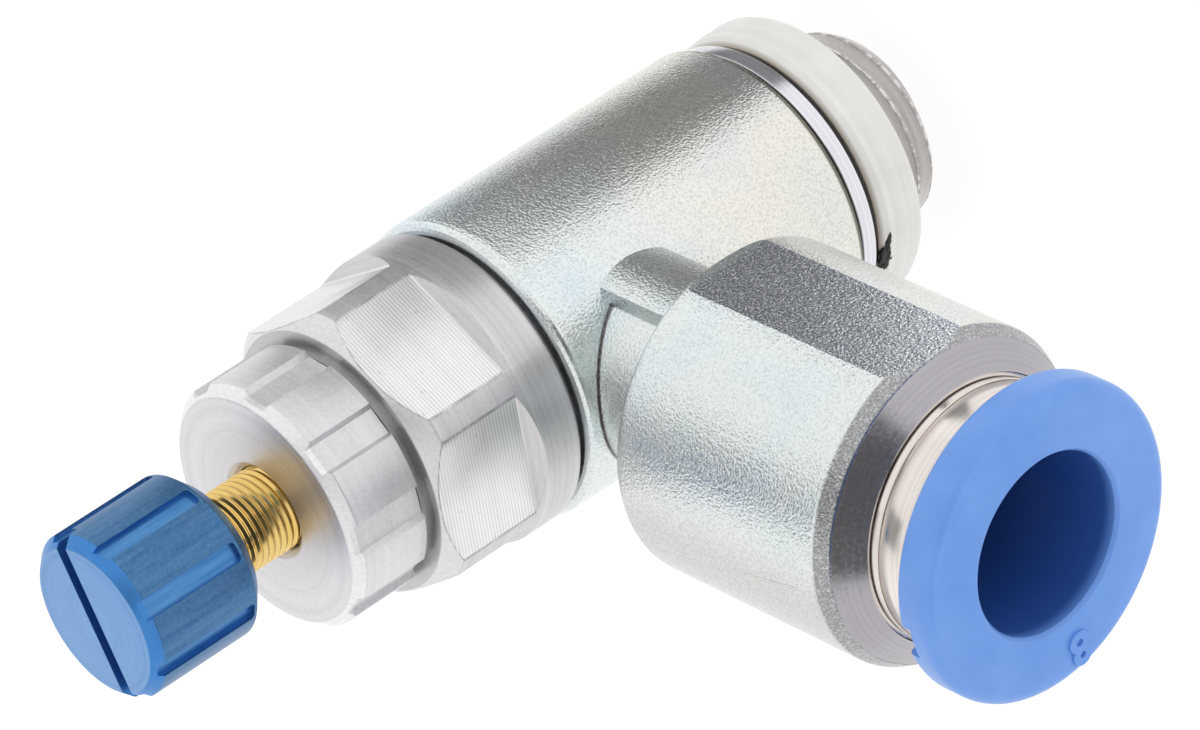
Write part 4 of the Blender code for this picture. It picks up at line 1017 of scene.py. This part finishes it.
# The lands, grooves, top face and top chamfer each get their own blue, darker on the lands and lighter on the
# grooves and face: painted light and shade on one anodised colour.
land_tone = blue.tones(blue_mix, (0.36, (0.038, 0.135, 0.3)), (0.62, (0.09, 0.215, 0.4)))
groove_tone = blue.tones(blue_streaks, (0.34, (0.055, 0.21, 0.5)), (0.66, (0.1, 0.29, 0.6)))
face_tone = blue.tones(blue_rings, (0.34, (0.15, 0.31, 0.59)), (0.66, (0.2, 0.38, 0.67)))
blue_land = blue.band(blue_reach, knob_radius - 0.14 * mm, knob_radius - 0.05 * mm)
blue_tone = blue.mixed(blue_land, groove_tone, land_tone)
# Painted shade: the knob's underside is painted near black.
blue_under_painted_shade = blue.band(blue_height, knob_foot + 0.02 * mm, knob_foot + 0.1 * mm, 1.0, 0.0)
blue_tone = blue.mixed(blue_under_painted_shade, blue_tone, (0.07, 0.085, 0.11))
blue_edge = blue.band(blue_height, knob_top - 0.55 * mm, knob_top - 0.45 * mm)
blue_tone = blue.mixed(blue_edge, blue_tone, (0.06, 0.24, 0.6))
blue_face = blue.band(blue_height, knob_top - 0.04 * mm, knob_top - 0.01 * mm)
blue_tone = blue.mixed(blue_face, blue_tone, face_tone)
blue.bump(blue.maths("ADD", blue_mix, blue.maths("MULTIPLY", blue_rings, 0.4)), 0.006 * mm, 0.5)
blue_finish = blue.set(blue_tone, 0.85, blue.band(blue_grain, 0.2, 0.8, 0.3, 0.42))
dressed(grip, blue_finish, "setting_screw", "knob", edge=0.05 * mm)

# Studio: a plain pale floor under the thread end, a white room, one soft light and five dark cards.
# The cards stand out of the picture's view and only show as the dark bands in the bright metal.
floor = bmesh.new()
bmesh.ops.create_circle(
    floor, cap_ends=True, segments=96, radius=2.0, matrix=Matrix.Translation((0, 0, thread_end - 0.02 * mm))
)
floor = solid("floor", floor)
pale_floor = Finish("pale_floor")
pale_floor.set((0.25, 0.25, 0.25), 0.0, 0.8, emission_color=(1, 1, 1, 1), emission_strength=0.8)
floor.data.materials.append(pale_floor.material)

on_floor = thread_end + 0.3 * mm
cards = [
    ("floor_card", (-29.5 * mm, 34 * mm, on_floor), (0, 0, 1), (31 * mm, 25 * mm), 0.19),
    ("screw_card", (61 * mm, -21 * mm, on_floor), (0, 0, 1), (11 * mm, 11 * mm), 0.02),
    ("barrel_card", (-0.18, 0.01, 0.24), (-0.656, 0.03, 0.754), (60 * mm, 60 * mm), 0.35),
    ("top_card", (0.1, 0.11, 0.4), (0.23, 0.28, 0.93), (90 * mm, 90 * mm), 0.25),
    ("cone_card", (0.42, 0.03, 0.18), (0.92, 0.05, 0.39), (330 * mm, 175 * mm), 0.12),
]
for name, place, facing, (wide, deep), glow in cards:
    card = bmesh.new()
    aimed = Matrix.Translation(place) @ Vector(facing).to_track_quat("Z", "Y").to_matrix().to_4x4()
    bmesh.ops.create_grid(
        card, x_segments=1, y_segments=1, size=1.0, matrix=aimed @ Matrix.Diagonal((wide, deep, 1, 1))
    )
    card = solid(name, card)
    paint = Finish(name)
    paint.set((0.01, 0.01, 0.012), 0.0, 0.9, emission_color=(1, 1, 1, 1), emission_strength=glow)
    card.data.materials.append(paint.material)
    card.visible_camera = False
    card.visible_shadow = False
    card.visible_diffuse = False

world = bpy.data.worlds.new("white_room")
world.use_nodes = True
world.node_tree.nodes["Background"].inputs["Color"].default_value = (1.0, 1.0, 1.0, 1.0)
world.node_tree.nodes["Background"].inputs["Strength"].default_value = 1.02
bpy.context.scene.world = world
lamp = bpy.data.lights.new("soft_box", "AREA")
lamp.shape = "DISK"
lamp.size = 0.35
lamp.energy = 0.03
soft_box = bpy.data.objects.new("soft_box", lamp)
bpy.context.scene.collection.objects.link(soft_box)
soft_box.location = (-0.33, -0.28, 0.28)
soft_box.rotation_mode = "QUATERNION"
soft_box.rotation_quaternion = Vector(soft_box.location).to_track_quat("Z", "Y")
bpy.context.scene.view_settings.view_transform = "Standard"

# Camera: a long lens at the photograph's angle, rolled so that the knob points down to the left.
lens = bpy.data.cameras.new("camera")
lens.sensor_width = 36.0
lens.lens = 210.04
lens.clip_start = 0.01
lens.clip_end = 10.0
camera = bpy.data.objects.new("camera", lens)
bpy.context.scene.collection.objects.link(camera)
right = Vector((0.68357, -0.14388, -0.71556))
up = Vector((-0.32072, 0.82145, -0.47155))
back = Vector((0.65565, 0.55183, 0.51538))
stand = Matrix.Translation((0.20582, 0.16968, 0.17603))
camera.matrix_world = stand @ Matrix((right, up, back)).transposed().to_4x4()
bpy.context.scene.camera = camera
